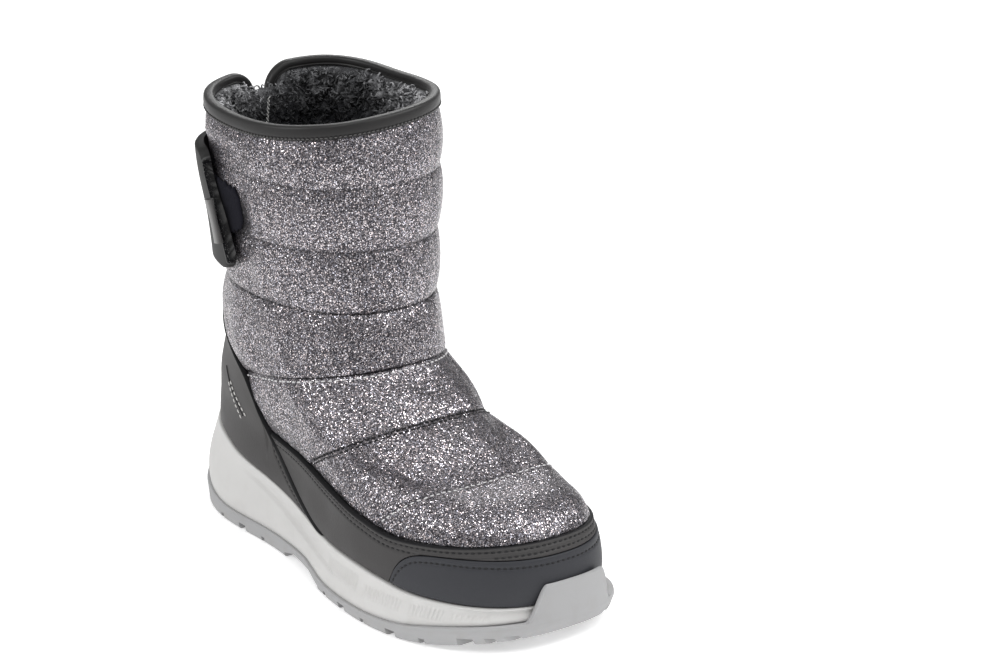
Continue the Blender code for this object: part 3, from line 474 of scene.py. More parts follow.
class NodeKit:
    """Adds nodes to one tree and joins them."""

    def __init__(self, tree: Tree) -> None:
        """Keep the tree."""
        self.tree = tree

    def put(self, node: Node, socket: str | int, value: object) -> None:
        """Set a socket's value, or join it to another node's output."""
        target = node.inputs[socket]
        if isinstance(value, Socket):
            self.tree.links.new(value, target)
        else:
            target.default_value = value

    def add(self, kind: str, inputs: dict[str | int, object] | None = None, **settings: object) -> Node:
        """Add a node.

        Args:
            kind: Blender's node type.
            inputs: Values or outputs for its sockets, by name or number.
            settings: The node's own properties.

        Returns:
            The node.
        """
        node = self.tree.nodes.new(kind)
        for key, value in settings.items():
            setattr(node, key, value)
        for key, value in (inputs or {}).items():
            self.put(node, key, value)
        return node

    def math(self, operation: str, first: object, second: object = 0.0, clamp: bool = False) -> Socket:
        """Output of one sum."""
        node = self.add("ShaderNodeMath", {0: first, 1: second}, operation=operation, use_clamp=clamp)
        return node.outputs[0]

    def mix(self, share: object, first: object, second: object, blend: str = "MIX") -> Socket:
        """Colour between two colours."""
        inputs = {0: share, 6: self.opaque(first), 7: self.opaque(second)}
        return self.add("ShaderNodeMix", inputs, data_type="RGBA", blend_type=blend).outputs[2]

    def ramp(self, value: object, stops: Sequence[tuple[float, Colour]]) -> Socket:
        """Colour read off a ramp."""
        node = self.add("ShaderNodeValToRGB", {0: value})
        marks = node.color_ramp.elements
        while len(marks) < len(stops):
            marks.new(1.0)
        for mark, (place, colour) in zip(marks, stops):
            mark.position = place
            mark.color = (*colour, 1.0)
        return node.outputs[0]

    def range(self, value: object, low: float, high: float, start: float, end: float) -> Socket:
        """Value carried smoothly from one range to another."""
        node = self.add("ShaderNodeMapRange", {0: value, 1: low, 2: high, 3: start, 4: end},
                        interpolation_type="SMOOTHSTEP")
        return node.outputs[0]

    def place(self) -> Socket:
        """Object coordinates."""
        return self.add("ShaderNodeTexCoord").outputs["Object"]

    def noise(self, scale: object, detail: float = 3.0) -> Socket:
        """Soft noise, about 0 to 1."""
        node = self.add("ShaderNodeTexNoise", {"Vector": self.place(), "Scale": scale, "Detail": detail})
        return node.outputs[0]

    def number(self, name: str) -> Socket:
        """Named number on the mesh."""
        return self.add("ShaderNodeAttribute", attribute_name=name).outputs["Fac"]

    def bump(self, height: object, strength: float, distance: float) -> Socket:
        """Normal from a height."""
        node = self.add("ShaderNodeBump", {"Height": height, "Strength": strength, "Distance": distance})
        return node.outputs[0]

    def vector(self, operation: str, inputs: dict[str | int, object], output: str = "Vector") -> Socket:
        """Output of one sum of vectors."""
        return self.add("ShaderNodeVectorMath", inputs, operation=operation).outputs[output]

    def group(self, tree: Tree, **values: float) -> Node:
        """A shared effect, with its own values."""
        return self.add("ShaderNodeGroup", dict(values), node_tree=tree)

    @staticmethod
    def opaque(colour: object) -> object:
        """A plain colour with its full alpha; an output stays as it is."""
        return (*colour, 1.0) if isinstance(colour, tuple) else colour


class EffectGroups:
    """Shader node groups that several finishes share."""

    def __init__(self) -> None:
        """Build each group once."""
        self.flakes = self._flakes()
        self.grain = self._grain()
        self.dust = self._dust()
        self.weave = self._weave()

    @staticmethod
    def _open(name: str, inputs: dict[str, float], outputs: dict[str, str]) -> tuple[NodeKit, Node, Node]:
        """Start a group with named sockets."""
        tree = bpy.data.node_groups.new(name, "ShaderNodeTree")
        for key, value in inputs.items():
            socket = tree.interface.new_socket(key, in_out="INPUT", socket_type="NodeSocketFloat")
            socket.default_value = value
        for key, kind in outputs.items():
            tree.interface.new_socket(key, in_out="OUTPUT", socket_type=kind)
        kit = NodeKit(tree)
        return kit, kit.add("NodeGroupInput"), kit.add("NodeGroupOutput")

    def _flakes(self) -> Tree:
        """Glitter: small flakes, each with its own grey, tint and tilt."""
        kit, given, out = self._open("Glitter flakes", {"Scale": 1700.0, "Tilt": 0.9},
                                     {"Colour": "NodeSocketColor", "Normal": "NodeSocketVector",
                                      "Glint": "NodeSocketFloat"})
        cell = kit.add("ShaderNodeTexVoronoi", {"Vector": kit.place(), "Scale": given.outputs["Scale"]})
        draw = kit.add("ShaderNodeTexWhiteNoise", {"Vector": cell.outputs["Position"]})
        grey = kit.ramp(draw.outputs["Value"], FLAKE_GREYS)
        parts = kit.add("ShaderNodeSeparateColor", {0: draw.outputs["Color"]})
        tint = kit.ramp(parts.outputs[1], FLAKE_TINTS)
        kit.put(out, "Colour", kit.mix(1.0, grey, tint, "MULTIPLY"))
        kit.put(out, "Glint", kit.range(draw.outputs["Value"], 0.80, 0.9, 0.0, 1.0))
        centred = kit.vector("SUBTRACT", {0: cell.outputs["Color"], 1: (0.5, 0.5, 0.5)})
        tilted = kit.vector("SCALE", {0: centred, "Scale": given.outputs["Tilt"]})
        face = kit.add("ShaderNodeNewGeometry").outputs["Normal"]
        kit.put(out, "Normal", kit.vector("NORMALIZE", {0: kit.vector("ADD", {0: face, 1: tilted})}))
        return kit.tree

    def _grain(self) -> Tree:
        """Fine grain of leather, foam and rubber."""
        kit, given, out = self._open("Fine grain", {"Scale": 900.0},
                                     {"Height": "NodeSocketFloat", "Cloud": "NodeSocketFloat"})
        cell = kit.add("ShaderNodeTexVoronoi", {"Vector": kit.place(), "Scale": given.outputs["Scale"]})
        fine = kit.noise(kit.math("MULTIPLY", given.outputs["Scale"], 1.7), 4.0)
        kit.put(out, "Height", kit.math("ADD", cell.outputs["Distance"], fine))
        kit.put(out, "Cloud", kit.noise(kit.math("MULTIPLY", given.outputs["Scale"], 0.04), 4.0))
        return kit.tree

    def _dust(self) -> Tree:
        """Dust that gathers towards the floor."""
        kit, given, out = self._open("Floor dust", {"Reach": 0.03, "Scale": 160.0},
                                     {"Mask": "NodeSocketFloat"})
        height = kit.add("ShaderNodeSeparateXYZ", {0: kit.place()}).outputs[2]
        low = kit.math("SUBTRACT", 1.0, kit.math("DIVIDE", height, given.outputs["Reach"]), clamp=True)
        patchy = kit.range(kit.noise(given.outputs["Scale"], 5.0), 0.45, 0.7, 0.0, 1.0)
        kit.put(out, "Mask", kit.math("MULTIPLY", low, patchy))
        return kit.tree

    def _weave(self) -> Tree:
        """Plain weave of tape and cloth."""
        kit, given, out = self._open("Plain weave", {"Scale": 700.0}, {"Height": "NodeSocketFloat"})
        bands = [kit.add("ShaderNodeTexWave", {"Vector": kit.place(), "Scale": given.outputs["Scale"],
                                               "Distortion": 0.6}, bands_direction=way).outputs["Fac"]
                 for way in ("Z", "DIAGONAL")]
        kit.put(out, "Height", kit.math("MULTIPLY", bands[0], bands[1]))
        return kit.tree


FLAKE_GREYS = ((0.0, (0.020, 0.020, 0.023)), (0.40, (0.055, 0.054, 0.060)), (0.64, (0.16, 0.155, 0.165)),
               (0.84, (0.40, 0.385, 0.40)), (0.95, (0.85, 0.82, 0.84)), (1.0, (1.0, 0.97, 0.98)))
FLAKE_TINTS = ((0.0, (0.86, 0.88, 1.0)), (0.45, (1.0, 0.98, 0.99)), (1.0, (1.0, 0.88, 0.86)))


@dataclass(frozen=True)
class Finish:
    """A plain finish: colour, roughness and specular level."""

    name: str
    colour: Colour
    roughness: float = 0.6
    specular: float = 0.4

    def make(self, effects: EffectGroups) -> Material:
        """Make the material.

        Args:
            effects: The shared node groups.

        Returns:
            The material.
        """
        material = bpy.data.materials.new(self.name)
        material.use_nodes = True
        shader = material.node_tree.nodes["Principled BSDF"]
        shader.inputs["Base Color"].default_value = (*self.colour, 1.0)
        shader.inputs["Roughness"].default_value = self.roughness
        shader.inputs["Specular IOR Level"].default_value = self.specular
        self.dress(NodeKit(material.node_tree), shader, effects)
        return material

    def dress(self, kit: NodeKit, shader: Node, effects: EffectGroups) -> None:
        """Add the finish's own detail; a plain one gets a faint cloud of colour."""
        cloud = kit.noise(300.0)
        dark = tuple(0.75 * c for c in self.colour)
        kit.put(shader, "Base Color", kit.mix(cloud, dark, self.colour))


@dataclass(frozen=True)
class GlitterFabric(Finish):
    """Silver charcoal glitter on cloth, dark in the stitched valleys, with painted shadow along the overlays'
    edges and round the loop patch.
    """

    scale: float = 1700.0
    tilt: float = 0.9

    def dress(self, kit: NodeKit, shader: Node, effects: EffectGroups) -> None:
        """Lay flakes on dark cloth, darken the seams and paint the shadows along the overlays' edges and round
        the loop patch.
        """
        flakes = kit.group(effects.flakes, Scale=self.scale, Tilt=self.tilt)
        # The seam mask also carries painted shadow along the overlays' edges and round the loop patch
        seam = kit.math("MULTIPLY", kit.number("seam"), 0.85, clamp=True)
        kit.put(shader, "Base Color", kit.mix(seam, flakes.outputs["Colour"], self.colour))
        kit.put(shader, "Normal", flakes.outputs["Normal"])
        kit.put(shader, "Roughness", kit.range(flakes.outputs["Glint"], 0.0, 1.0, self.roughness, 0.2))
        kit.put(shader, "Metallic", kit.range(flakes.outputs["Glint"], 0.0, 1.0, 0.75, 0.95))


@dataclass(frozen=True)
class SmoothLeather(Finish):
    """Smooth coated leather with a fine grain and black cut edges."""

    scale: float = 1100.0
    edge: Colour = (0.006, 0.006, 0.007)

    def dress(self, kit: NodeKit, shader: Node, effects: EffectGroups) -> None:
        """Add grain, a faint cloud, black edges and rubbed places."""
        grain = kit.group(effects.grain, Scale=self.scale)
        light = tuple(1.22 * c for c in self.colour)
        base = kit.mix(grain.outputs["Cloud"], self.colour, light)
        kit.put(shader, "Base Color", kit.mix(kit.number("edge"), base, self.edge))
        kit.put(shader, "Roughness", kit.range(grain.outputs["Cloud"], 0.3, 0.7, self.roughness - 0.06,
                                               self.roughness + 0.06))
        kit.put(shader, "Normal", kit.bump(grain.outputs["Height"], 0.22, 0.00012))


@dataclass(frozen=True)
class Moulded(Finish):
    """Moulded foam or rubber, with a fine skin and a little dust near the floor."""

    scale: float = 700.0
    dust: Colour = (0.30, 0.28, 0.25)
    dust_share: float = 0.35

    def dress(self, kit: NodeKit, shader: Node, effects: EffectGroups) -> None:
        """Add the skin, a faint cloud and the dust."""
        grain = kit.group(effects.grain, Scale=self.scale)
        dust = kit.group(effects.dust)
        dark = tuple(0.93 * c for c in self.colour)
        base = kit.mix(grain.outputs["Cloud"], dark, self.colour)
        share = kit.math("MULTIPLY", dust.outputs["Mask"], self.dust_share)
        kit.put(shader, "Base Color", kit.mix(share, base, self.dust))
        kit.put(shader, "Normal", kit.bump(grain.outputs["Height"], 0.15, 0.0001))


@dataclass(frozen=True)
class Tape(Finish):
    """Woven tape with a slight sheen."""

    scale: float = 420.0
    strength: float = 0.25
    sheen: float = 0.15

    def dress(self, kit: NodeKit, shader: Node, effects: EffectGroups) -> None:
        """Add the weave and a faint cloud."""
        weave = kit.group(effects.weave, Scale=self.scale)
        light = tuple(1.5 * c for c in self.colour)
        cloud = kit.math("MULTIPLY", weave.outputs["Height"], kit.noise(220.0), clamp=True)
        kit.put(shader, "Base Color", kit.mix(cloud, self.colour, light))
        kit.put(shader, "Normal", kit.bump(weave.outputs["Height"], self.strength, 0.0002))
        kit.put(shader, "Sheen Weight", self.sheen)
        kit.put(shader, "Sheen Roughness", 0.4)


@dataclass(frozen=True)
class HookTape(Finish):
    """Smooth tape with a strip of black hooks and pale lines beside it."""

    hooks: Colour = (0.005, 0.005, 0.006)
    flecks: Colour = (0.16, 0.16, 0.16)
    lines: Colour = (0.09, 0.09, 0.09)

    def dress(self, kit: NodeKit, shader: Node, effects: EffectGroups) -> None:
        """Lay the strip of hooks and its two lines on the tape."""
        speck = kit.range(kit.noise(2400.0, 3.0), 0.56, 0.72, 0.0, 1.0)
        strip = kit.mix(speck, self.hooks, self.flecks)
        base = kit.mix(kit.number("strip"), self.colour, strip)
        kit.put(shader, "Base Color", kit.mix(kit.number("edge"), base, self.lines))
        kit.put(shader, "Specular IOR Level", kit.range(kit.number("strip"), 0.0, 1.0, self.specular, 0.02))
        rough = kit.math("MULTIPLY", kit.noise(2400.0, 3.0), kit.number("strip"))
        kit.put(shader, "Normal", kit.bump(rough, 0.8, 0.0006))


@dataclass(frozen=True)
class CurledPile(Finish):
    """Curled pile, dark at its roots and lighter at its tips, with painted shade deep in the shaft and painted
    light near the rim and on the side walls.
    """

    # Direction across the collar, and how far behind the origin its middle lies that way; the pile gets painted
    # light away from that middle
    WAY_ACROSS = (0.6, 0.8, 0.0)
    MIDDLE = 0.025
    tips: Colour = (0.66, 0.66, 0.68)
    # Colour of the painted shade deep in the shaft
    deep: Colour = (0.012, 0.013, 0.016)

    def dress(self, kit: NodeKit, shader: Node, effects: EffectGroups) -> None:
        """Lighten the tips, vary the clumps, paint light near the rim and on the side walls, paint shade deep
        in the shaft and roughen the hairs.
        """
        clump = kit.range(kit.noise(240.0, 4.0), 0.3, 0.7, 0.45, 1.15)
        height = kit.add("ShaderNodeSeparateXYZ", {0: kit.place()}).outputs[2]
        across = kit.vector("DOT_PRODUCT", {0: kit.place(), 1: self.WAY_ACROSS}, "Value")
        aside = kit.math("ABSOLUTE", kit.math("ADD", across, self.MIDDLE))
        # Random clumps times painted light on the side walls, away from the collar's middle
        clumps_and_painted_side_light = kit.math("MULTIPLY", clump, kit.range(aside, 0.012, 0.036, 0.75, 4.0))
        # Painted light near the rim: lower in the shaft the tips barely lighten
        lit = kit.math("MULTIPLY", clumps_and_painted_side_light, kit.range(height, 0.150, 0.166, 0.05, 1.0))
        share = kit.math("MULTIPLY", kit.range(kit.number("tip"), 0.0, 1.0, 0.12, 0.38), lit, clamp=True)
        # Painted shade: from the pile's own colour at the rim down to the deep colour lower in the shaft
        root = kit.mix(kit.range(height, 0.148, 0.170, 0.0, 1.0), self.deep, self.colour)
        kit.put(shader, "Base Color", kit.mix(share, root, self.tips))
        kit.put(shader, "Normal", kit.bump(kit.noise(1500.0, 6.0), 1.0, 0.0014))
        kit.put(shader, "Sheen Weight", 0.15)
        kit.put(shader, "Sheen Roughness", 0.5)


class Finishes:
    """Every material of the boot."""

    def __init__(self) -> None:
        """Make every material."""
        effects = EffectGroups()
        fabric = GlitterFabric("glitter_fabric", (0.010, 0.010, 0.012), 0.36, 0.5, 3200.0, 0.5)
        self.glitter = fabric.make(effects)
        self.overlay = SmoothLeather("overlay_grey", (0.045, 0.043, 0.043), 0.55, 0.25).make(effects)
        self.toe = SmoothLeather("toe_blue_grey", (0.033, 0.034, 0.039), 0.52, 0.25).make(effects)
        self.foam = Moulded("foam_off_white", (0.61, 0.605, 0.595), 0.6, 0.25, dust_share=0.10).make(effects)
        self.rubber = Moulded("rubber_grey", (0.39, 0.39, 0.395), 0.65, 0.25, dust_share=0.2).make(effects)
        self.binding = Tape("binding_satin", (0.011, 0.0105, 0.0105), 0.45, 0.35, 900.0, 0.08).make(effects)
        self.pile = CurledPile("curled_pile", (0.052, 0.053, 0.057), 0.95, 0.05).make(effects)
        self.strap = HookTape("strap_dark", (0.014, 0.014, 0.014), 0.6, 0.3).make(effects)
        self.patch = Tape("patch_black", (0.012, 0.012, 0.017), 1.0, 0.08, 800.0, 0.9, 0.02).make(effects)
        self.pull = Tape("pull_grey", (0.075, 0.073, 0.072), 0.3, 0.5, 600.0, 0.1).make(effects)
        self.hem_thread = Finish("hem_thread", (0.085, 0.083, 0.082), 0.4).make(effects)
        self.black_thread = Finish("black_thread", (0.008, 0.008, 0.009), 0.55).make(effects)
        self.pale_thread = Finish("pale_thread", (0.80, 0.79, 0.77), 0.5).make(effects)
        self.silver_thread = Finish("silver_thread", (0.75, 0.74, 0.75), 0.35, 0.6).make(effects)


class NodeTool:
    """A Geometry Nodes tree on a modifier, made a plain mesh once its inputs are set."""

    def __init__(self, name: str, inputs: Sequence[tuple[str, str]]) -> None:
        """Open the tree.

        Args:
            name: Name of the tree.
            inputs: Name and kind of each input after the geometry.
        """
        self.tree = bpy.data.node_groups.new(name, "GeometryNodeTree")
        self.tree.is_modifier = True
        face = self.tree.interface
        face.new_socket("Geometry", in_out="INPUT", socket_type="NodeSocketGeometry")
        self.keys = {key: face.new_socket(key, in_out="INPUT", socket_type=kind).identifier
                     for key, kind in inputs}
        face.new_socket("Geometry", in_out="OUTPUT", socket_type="NodeSocketGeometry")
        self.kit = NodeKit(self.tree)
        self.given = self.kit.add("NodeGroupInput")

    def close(self, instances: Socket, material: Socket) -> None:
        """End the tree: real meshes, smooth, with their material."""
        real = self.kit.add("GeometryNodeRealizeInstances", {0: instances})
        smooth = self.kit.add("GeometryNodeSetShadeSmooth", {0: real.outputs[0]})
        dyed = self.kit.add("GeometryNodeSetMaterial", {0: smooth.outputs[0], "Material": material})
        self.kit.put(self.kit.add("NodeGroupOutput"), 0, dyed.outputs[0])

    def run(self, thing: Thing, values: dict[str, object]) -> Thing:
        """Put the tree on an object, set its inputs and keep the result as a plain mesh."""
        step = thing.modifiers.new(self.tree.name, "NODES")
        step.node_group = self.tree
        for key, value in values.items():
            step[self.keys[key]] = value
        return Mesh.settle(thing)


class StitchTool(NodeTool):
    """Sews a row of stitches along a path."""

    def __init__(self) -> None:
        """Build the tree: points along the path, a thread at each."""
        super().__init__("Stitch row", (("Pitch", "NodeSocketFloat"), ("Half length", "NodeSocketFloat"),
                                        ("Thread radius", "NodeSocketFloat"), ("Thread", "NodeSocketMaterial")))
        kit, given = self.kit, self.given.outputs
        path = kit.add("GeometryNodeMeshToCurve", {0: given["Geometry"]})
        spots = kit.add("GeometryNodeCurveToPoints", {"Curve": path.outputs[0], "Length": given["Pitch"]},
                        mode="LENGTH")
        ball = kit.add("GeometryNodeMeshUVSphere", {"Segments": 6, "Rings": 5, "Radius": 1.0})
        size = kit.add("ShaderNodeCombineXYZ", {0: given["Thread radius"], 1: given["Thread radius"],
                                                2: given["Half length"]})
        shape = kit.add("GeometryNodeTransform", {"Geometry": ball.outputs["Mesh"], "Scale": size.outputs[0]})
        sewn = kit.add("GeometryNodeInstanceOnPoints",
                       {"Points": spots.outputs["Points"], "Instance": shape.outputs[0],
                        "Rotation": spots.outputs["Rotation"]})
        self.close(sewn.outputs[0], given["Thread"])

    def sew(self, name: str, paths: Sequence[Array], thread: Material, sizes: Sizes) -> Thing:
        """Sew rows of stitches.

        Args:
            name: Piece name.
            paths: Points of each row in millimetres.
            thread: Material of the thread.
            sizes: Distance between stitches, length of one and radius of the thread.

        Returns:
            The row as one piece.
        """
        points, edges = [], []
        for path in paths:
            start = len(points)
            points += (np.asarray(path) * MM).tolist()
            edges += [(start + k, start + k + 1) for k in range(len(path) - 1)]
        mesh = bpy.data.meshes.new(name)
        mesh.from_pydata(points, edges, [])
        pitch, length, radius = sizes
        return self.run(Mesh.link(name, mesh), {"Pitch": pitch * MM, "Half length": length * MM / 2,
                                                "Thread radius": radius * MM, "Thread": thread})


@dataclass(frozen=True)
class Curl:
    """One curl of pile: a short lock of hair that bends over."""

    height: float
    reach: float
    turn: float
    steps: int = 4
    sides: int = 3
    root_radius: float = 0.48
    tip_radius: float = 0.22

    def make(self, name: str) -> Thing:
        """Make the curl, rooted at the origin and rising along Z."""
        share = np.linspace(0.0, 1.0, self.steps + 1)
        angle = self.turn * math.pi * share
        path = np.stack([self.reach * (1 - np.cos(angle)), 0.5 * self.reach * np.sin(1.3 * angle),
                         self.height * np.sin(np.minimum(angle, 0.62 * math.pi)) - 0.8 * self.height
                         * np.maximum(share - 0.6, 0.0)], 1)
        along = np.gradient(path, axis=0)
        along /= np.linalg.norm(along, axis=1, keepdims=True)
        aside = np.cross(along, (0.0, 1.0, 0.3))
        aside /= np.linalg.norm(aside, axis=1, keepdims=True)
        other = np.cross(along, aside)
        radius = self.root_radius + (self.tip_radius - self.root_radius) * share
        rings = [path + radius[:, None] * (math.cos(a) * aside + math.sin(a) * other)
                 for a in np.arange(self.sides) * 2 * math.pi / self.sides]
        points = np.stack(rings, 1)
        tips = np.repeat(smooth_step(0.15, 0.9, share), self.sides)
        return Mesh.make(name, points.reshape(-1, 3), Mesh.tube(self.steps + 1, self.sides), (), {"tip": tips})


@dataclass(frozen=True)
class Planting:
    """How thick a pile stands: least distance between curls, seed of the draws and range of scales."""

    spacing: float
    seed: int
    smallest: float
    largest: float


class PileTool(NodeTool):
    """Plants curls of pile on a surface."""

    CURLS = (Curl(1.9, 0.95, 1.05), Curl(2.4, 0.8, 0.85), Curl(1.6, 1.1, 1.2))
    # Most curls to a square metre, and the range of their random turns in radians
    DENSEST = 600000.0
    TURNS = ((-0.8, -0.8, 0.0), (0.8, 0.8, 6.283))

    def __init__(self) -> None:
        """Build the tree: evenly spread points, a curl turned at random on each."""
        super().__init__("Curled pile", (("Spacing", "NodeSocketFloat"), ("Seed", "NodeSocketInt"),
                                         ("Smallest", "NodeSocketFloat"), ("Largest", "NodeSocketFloat"),
                                         ("Curl 0", "NodeSocketObject"), ("Curl 1", "NodeSocketObject"),
                                         ("Curl 2", "NodeSocketObject"), ("Pile", "NodeSocketMaterial")))
        kit, given = self.kit, self.given.outputs
        spots = kit.add("GeometryNodeDistributePointsOnFaces",
                        {"Mesh": given["Geometry"], "Distance Min": given["Spacing"],
                         "Density Max": self.DENSEST, "Seed": given["Seed"]}, distribute_method="POISSON")
        joined = kit.add("GeometryNodeJoinGeometry")
        for k in reversed(range(len(self.CURLS))):
            info = kit.add("GeometryNodeObjectInfo", {"Object": given[f"Curl {k}"], "As Instance": True})
            kit.put(joined, 0, info.outputs["Geometry"])
        spin = kit.add("FunctionNodeRandomValue", {0: self.TURNS[0], 1: self.TURNS[1], "Seed": given["Seed"]},
                       data_type="FLOAT_VECTOR")
        turned = kit.add("FunctionNodeRotateRotation", {0: spots.outputs["Rotation"], 1: spin.outputs[0]},
                         rotation_space="LOCAL")
        pick = kit.add("FunctionNodeRandomValue", {4: 0, 5: len(self.CURLS) - 1, "Seed": given["Seed"]},
                       data_type="INT")
        size = kit.add("FunctionNodeRandomValue",
                       {2: given["Smallest"], 3: given["Largest"], "Seed": given["Seed"]}, data_type="FLOAT")
        planted = kit.add("GeometryNodeInstanceOnPoints",
                          {"Points": spots.outputs["Points"], "Instance": joined.outputs[0],
                           "Pick Instance": True, "Instance Index": pick.outputs[2],
                           "Rotation": turned.outputs[0], "Scale": size.outputs[1]})
        self.close(planted.outputs[0], given["Pile"])
        self.curls = [curl.make(f"curl_{k}") for k, curl in enumerate(self.CURLS)]

    def plant(self, ground: Thing, pile: Material, planting: Planting) -> Thing:
        """Plant curls on a surface, which the curls then replace.

        Args:
            ground: Surface with its normals towards the pile's tips.
            pile: Material of the pile.
            planting: How thick the curls stand.

        Returns:
            The pile, in the ground's place.
        """
        values: dict[str, object] = {"Spacing": planting.spacing * MM, "Seed": planting.seed, "Pile": pile,
                                     "Smallest": planting.smallest, "Largest": planting.largest}
        values |= {f"Curl {k}": curl for k, curl in enumerate(self.curls)}
        return self.run(ground, values)

    def clear(self) -> None:
        """Remove the curls that the tree took as patterns."""
        for curl in self.curls:
            bpy.data.objects.remove(curl, do_unlink=True)


@dataclass
class Workshop:
    """What every sub-assembly needs: the finishes and the tools that repeat things."""

    finishes: Finishes
    stitches: StitchTool
    pile: PileTool

    def keep(self, piece: Thing, slot: Slot, *nodes: str) -> Thing:
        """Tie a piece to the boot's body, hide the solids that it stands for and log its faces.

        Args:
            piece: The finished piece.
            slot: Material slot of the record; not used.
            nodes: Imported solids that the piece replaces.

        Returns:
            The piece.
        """
        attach(piece, BODY)
        if nodes:
            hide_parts(*nodes)
        LOG.info("%s: %d faces, for %s", piece.name, len(piece.data.polygons), ", ".join(nodes) or "none")
        return piece

    def sew(self, name: str, paths: Sequence[Array], thread: Material, sizes: Sizes, slot: Slot) -> None:
        """Sew rows of stitches and tie them to the boot.

        Args:
            name: Piece name.
            paths: Points of each row in millimetres.
            thread: Material of the thread.
            sizes: Distance between stitches, length of one and radius of the thread.
            slot: Material slot of the record.
        """
        self.keep(self.stitches.sew(name, paths, thread, sizes), slot)


@dataclass(frozen=True)
class Notch:
    """The slot with round shoulders at the back of the rim."""

    half: float = 4.0
    deep: float = 15.0
    radius: float = 9.0

    @staticmethod
    def pitch() -> float:
        """Arc length of one column at the rim."""
        rim = FORM.plan_loop(FORM.sections[-1], np.array([0.0, 1.0]))
        return float(np.linalg.norm(rim[1] - rim[0]))

    @staticmethod
    def level(deep: Array) -> Array:
        """Level at a depth below the rim."""
        loops = [FORM.plan_loop(FORM.sections[k], np.array([0.0]))[0] for k in (-1, -2)]
        return FORM.rim - np.asarray(deep, float) / np.linalg.norm(loops[0] - loops[1])

    def depth(self, columns: Array) -> Array:
        """Depth of the rim's edge below the rim at each column."""
        away = np.minimum(columns % AROUND, AROUND - columns % AROUND) * self.pitch()
        into = np.clip(self.radius - (away - self.half), 0.0, self.radius)
        shoulder = self.radius - np.sqrt(self.radius ** 2 - into ** 2)
        return np.where(away < self.half, self.deep, shoulder)


NOTCH = Notch()


@dataclass(frozen=True)
class Lumps:
    """Soft lumps of the pile lining, from a sum of waves in every direction."""

    height: float = 1.0
    length: float = 5.2
    count: int = 14
    seed: int = 21

    def at(self, points: Array) -> Array:
        """Height of the lumps at each point, never below zero."""
        draw = np.random.default_rng(self.seed)
        ways = draw.normal(size=(self.count, 3))
        ways *= 2 * math.pi / (self.length * np.linalg.norm(ways, axis=1, keepdims=True))
        waves = np.sin(points @ ways.T + draw.uniform(0, 2 * math.pi, self.count))
        return self.height * np.maximum(1 + waves.sum(-1) / math.sqrt(self.count / 2), 0.0)


LUMPS = Lumps()


@dataclass(frozen=True)
class Crease:
    """A soft trough laid on the upper, or a ridge if its depth is below zero."""

    start: Place
    end: Place
    width: float
    depth: float


@dataclass(frozen=True)
class Seam:
    """A seam of the quilting, and the channel of filling below it.

    The seam passes through x at height z and rises to the front by the slope. The channel is lifted by the
    puff; its top gets softer as the power grows, and its bottom as the base grows. The line in the valley is
    dark by its share, and rows of stitches run at distances below it.
    """

    x: float
    z: float
    slope: float
    puff: float
    rows: int
    power: float
    base: float
    dark: float
    stitch_rows: Row = ()
    bright: bool = False


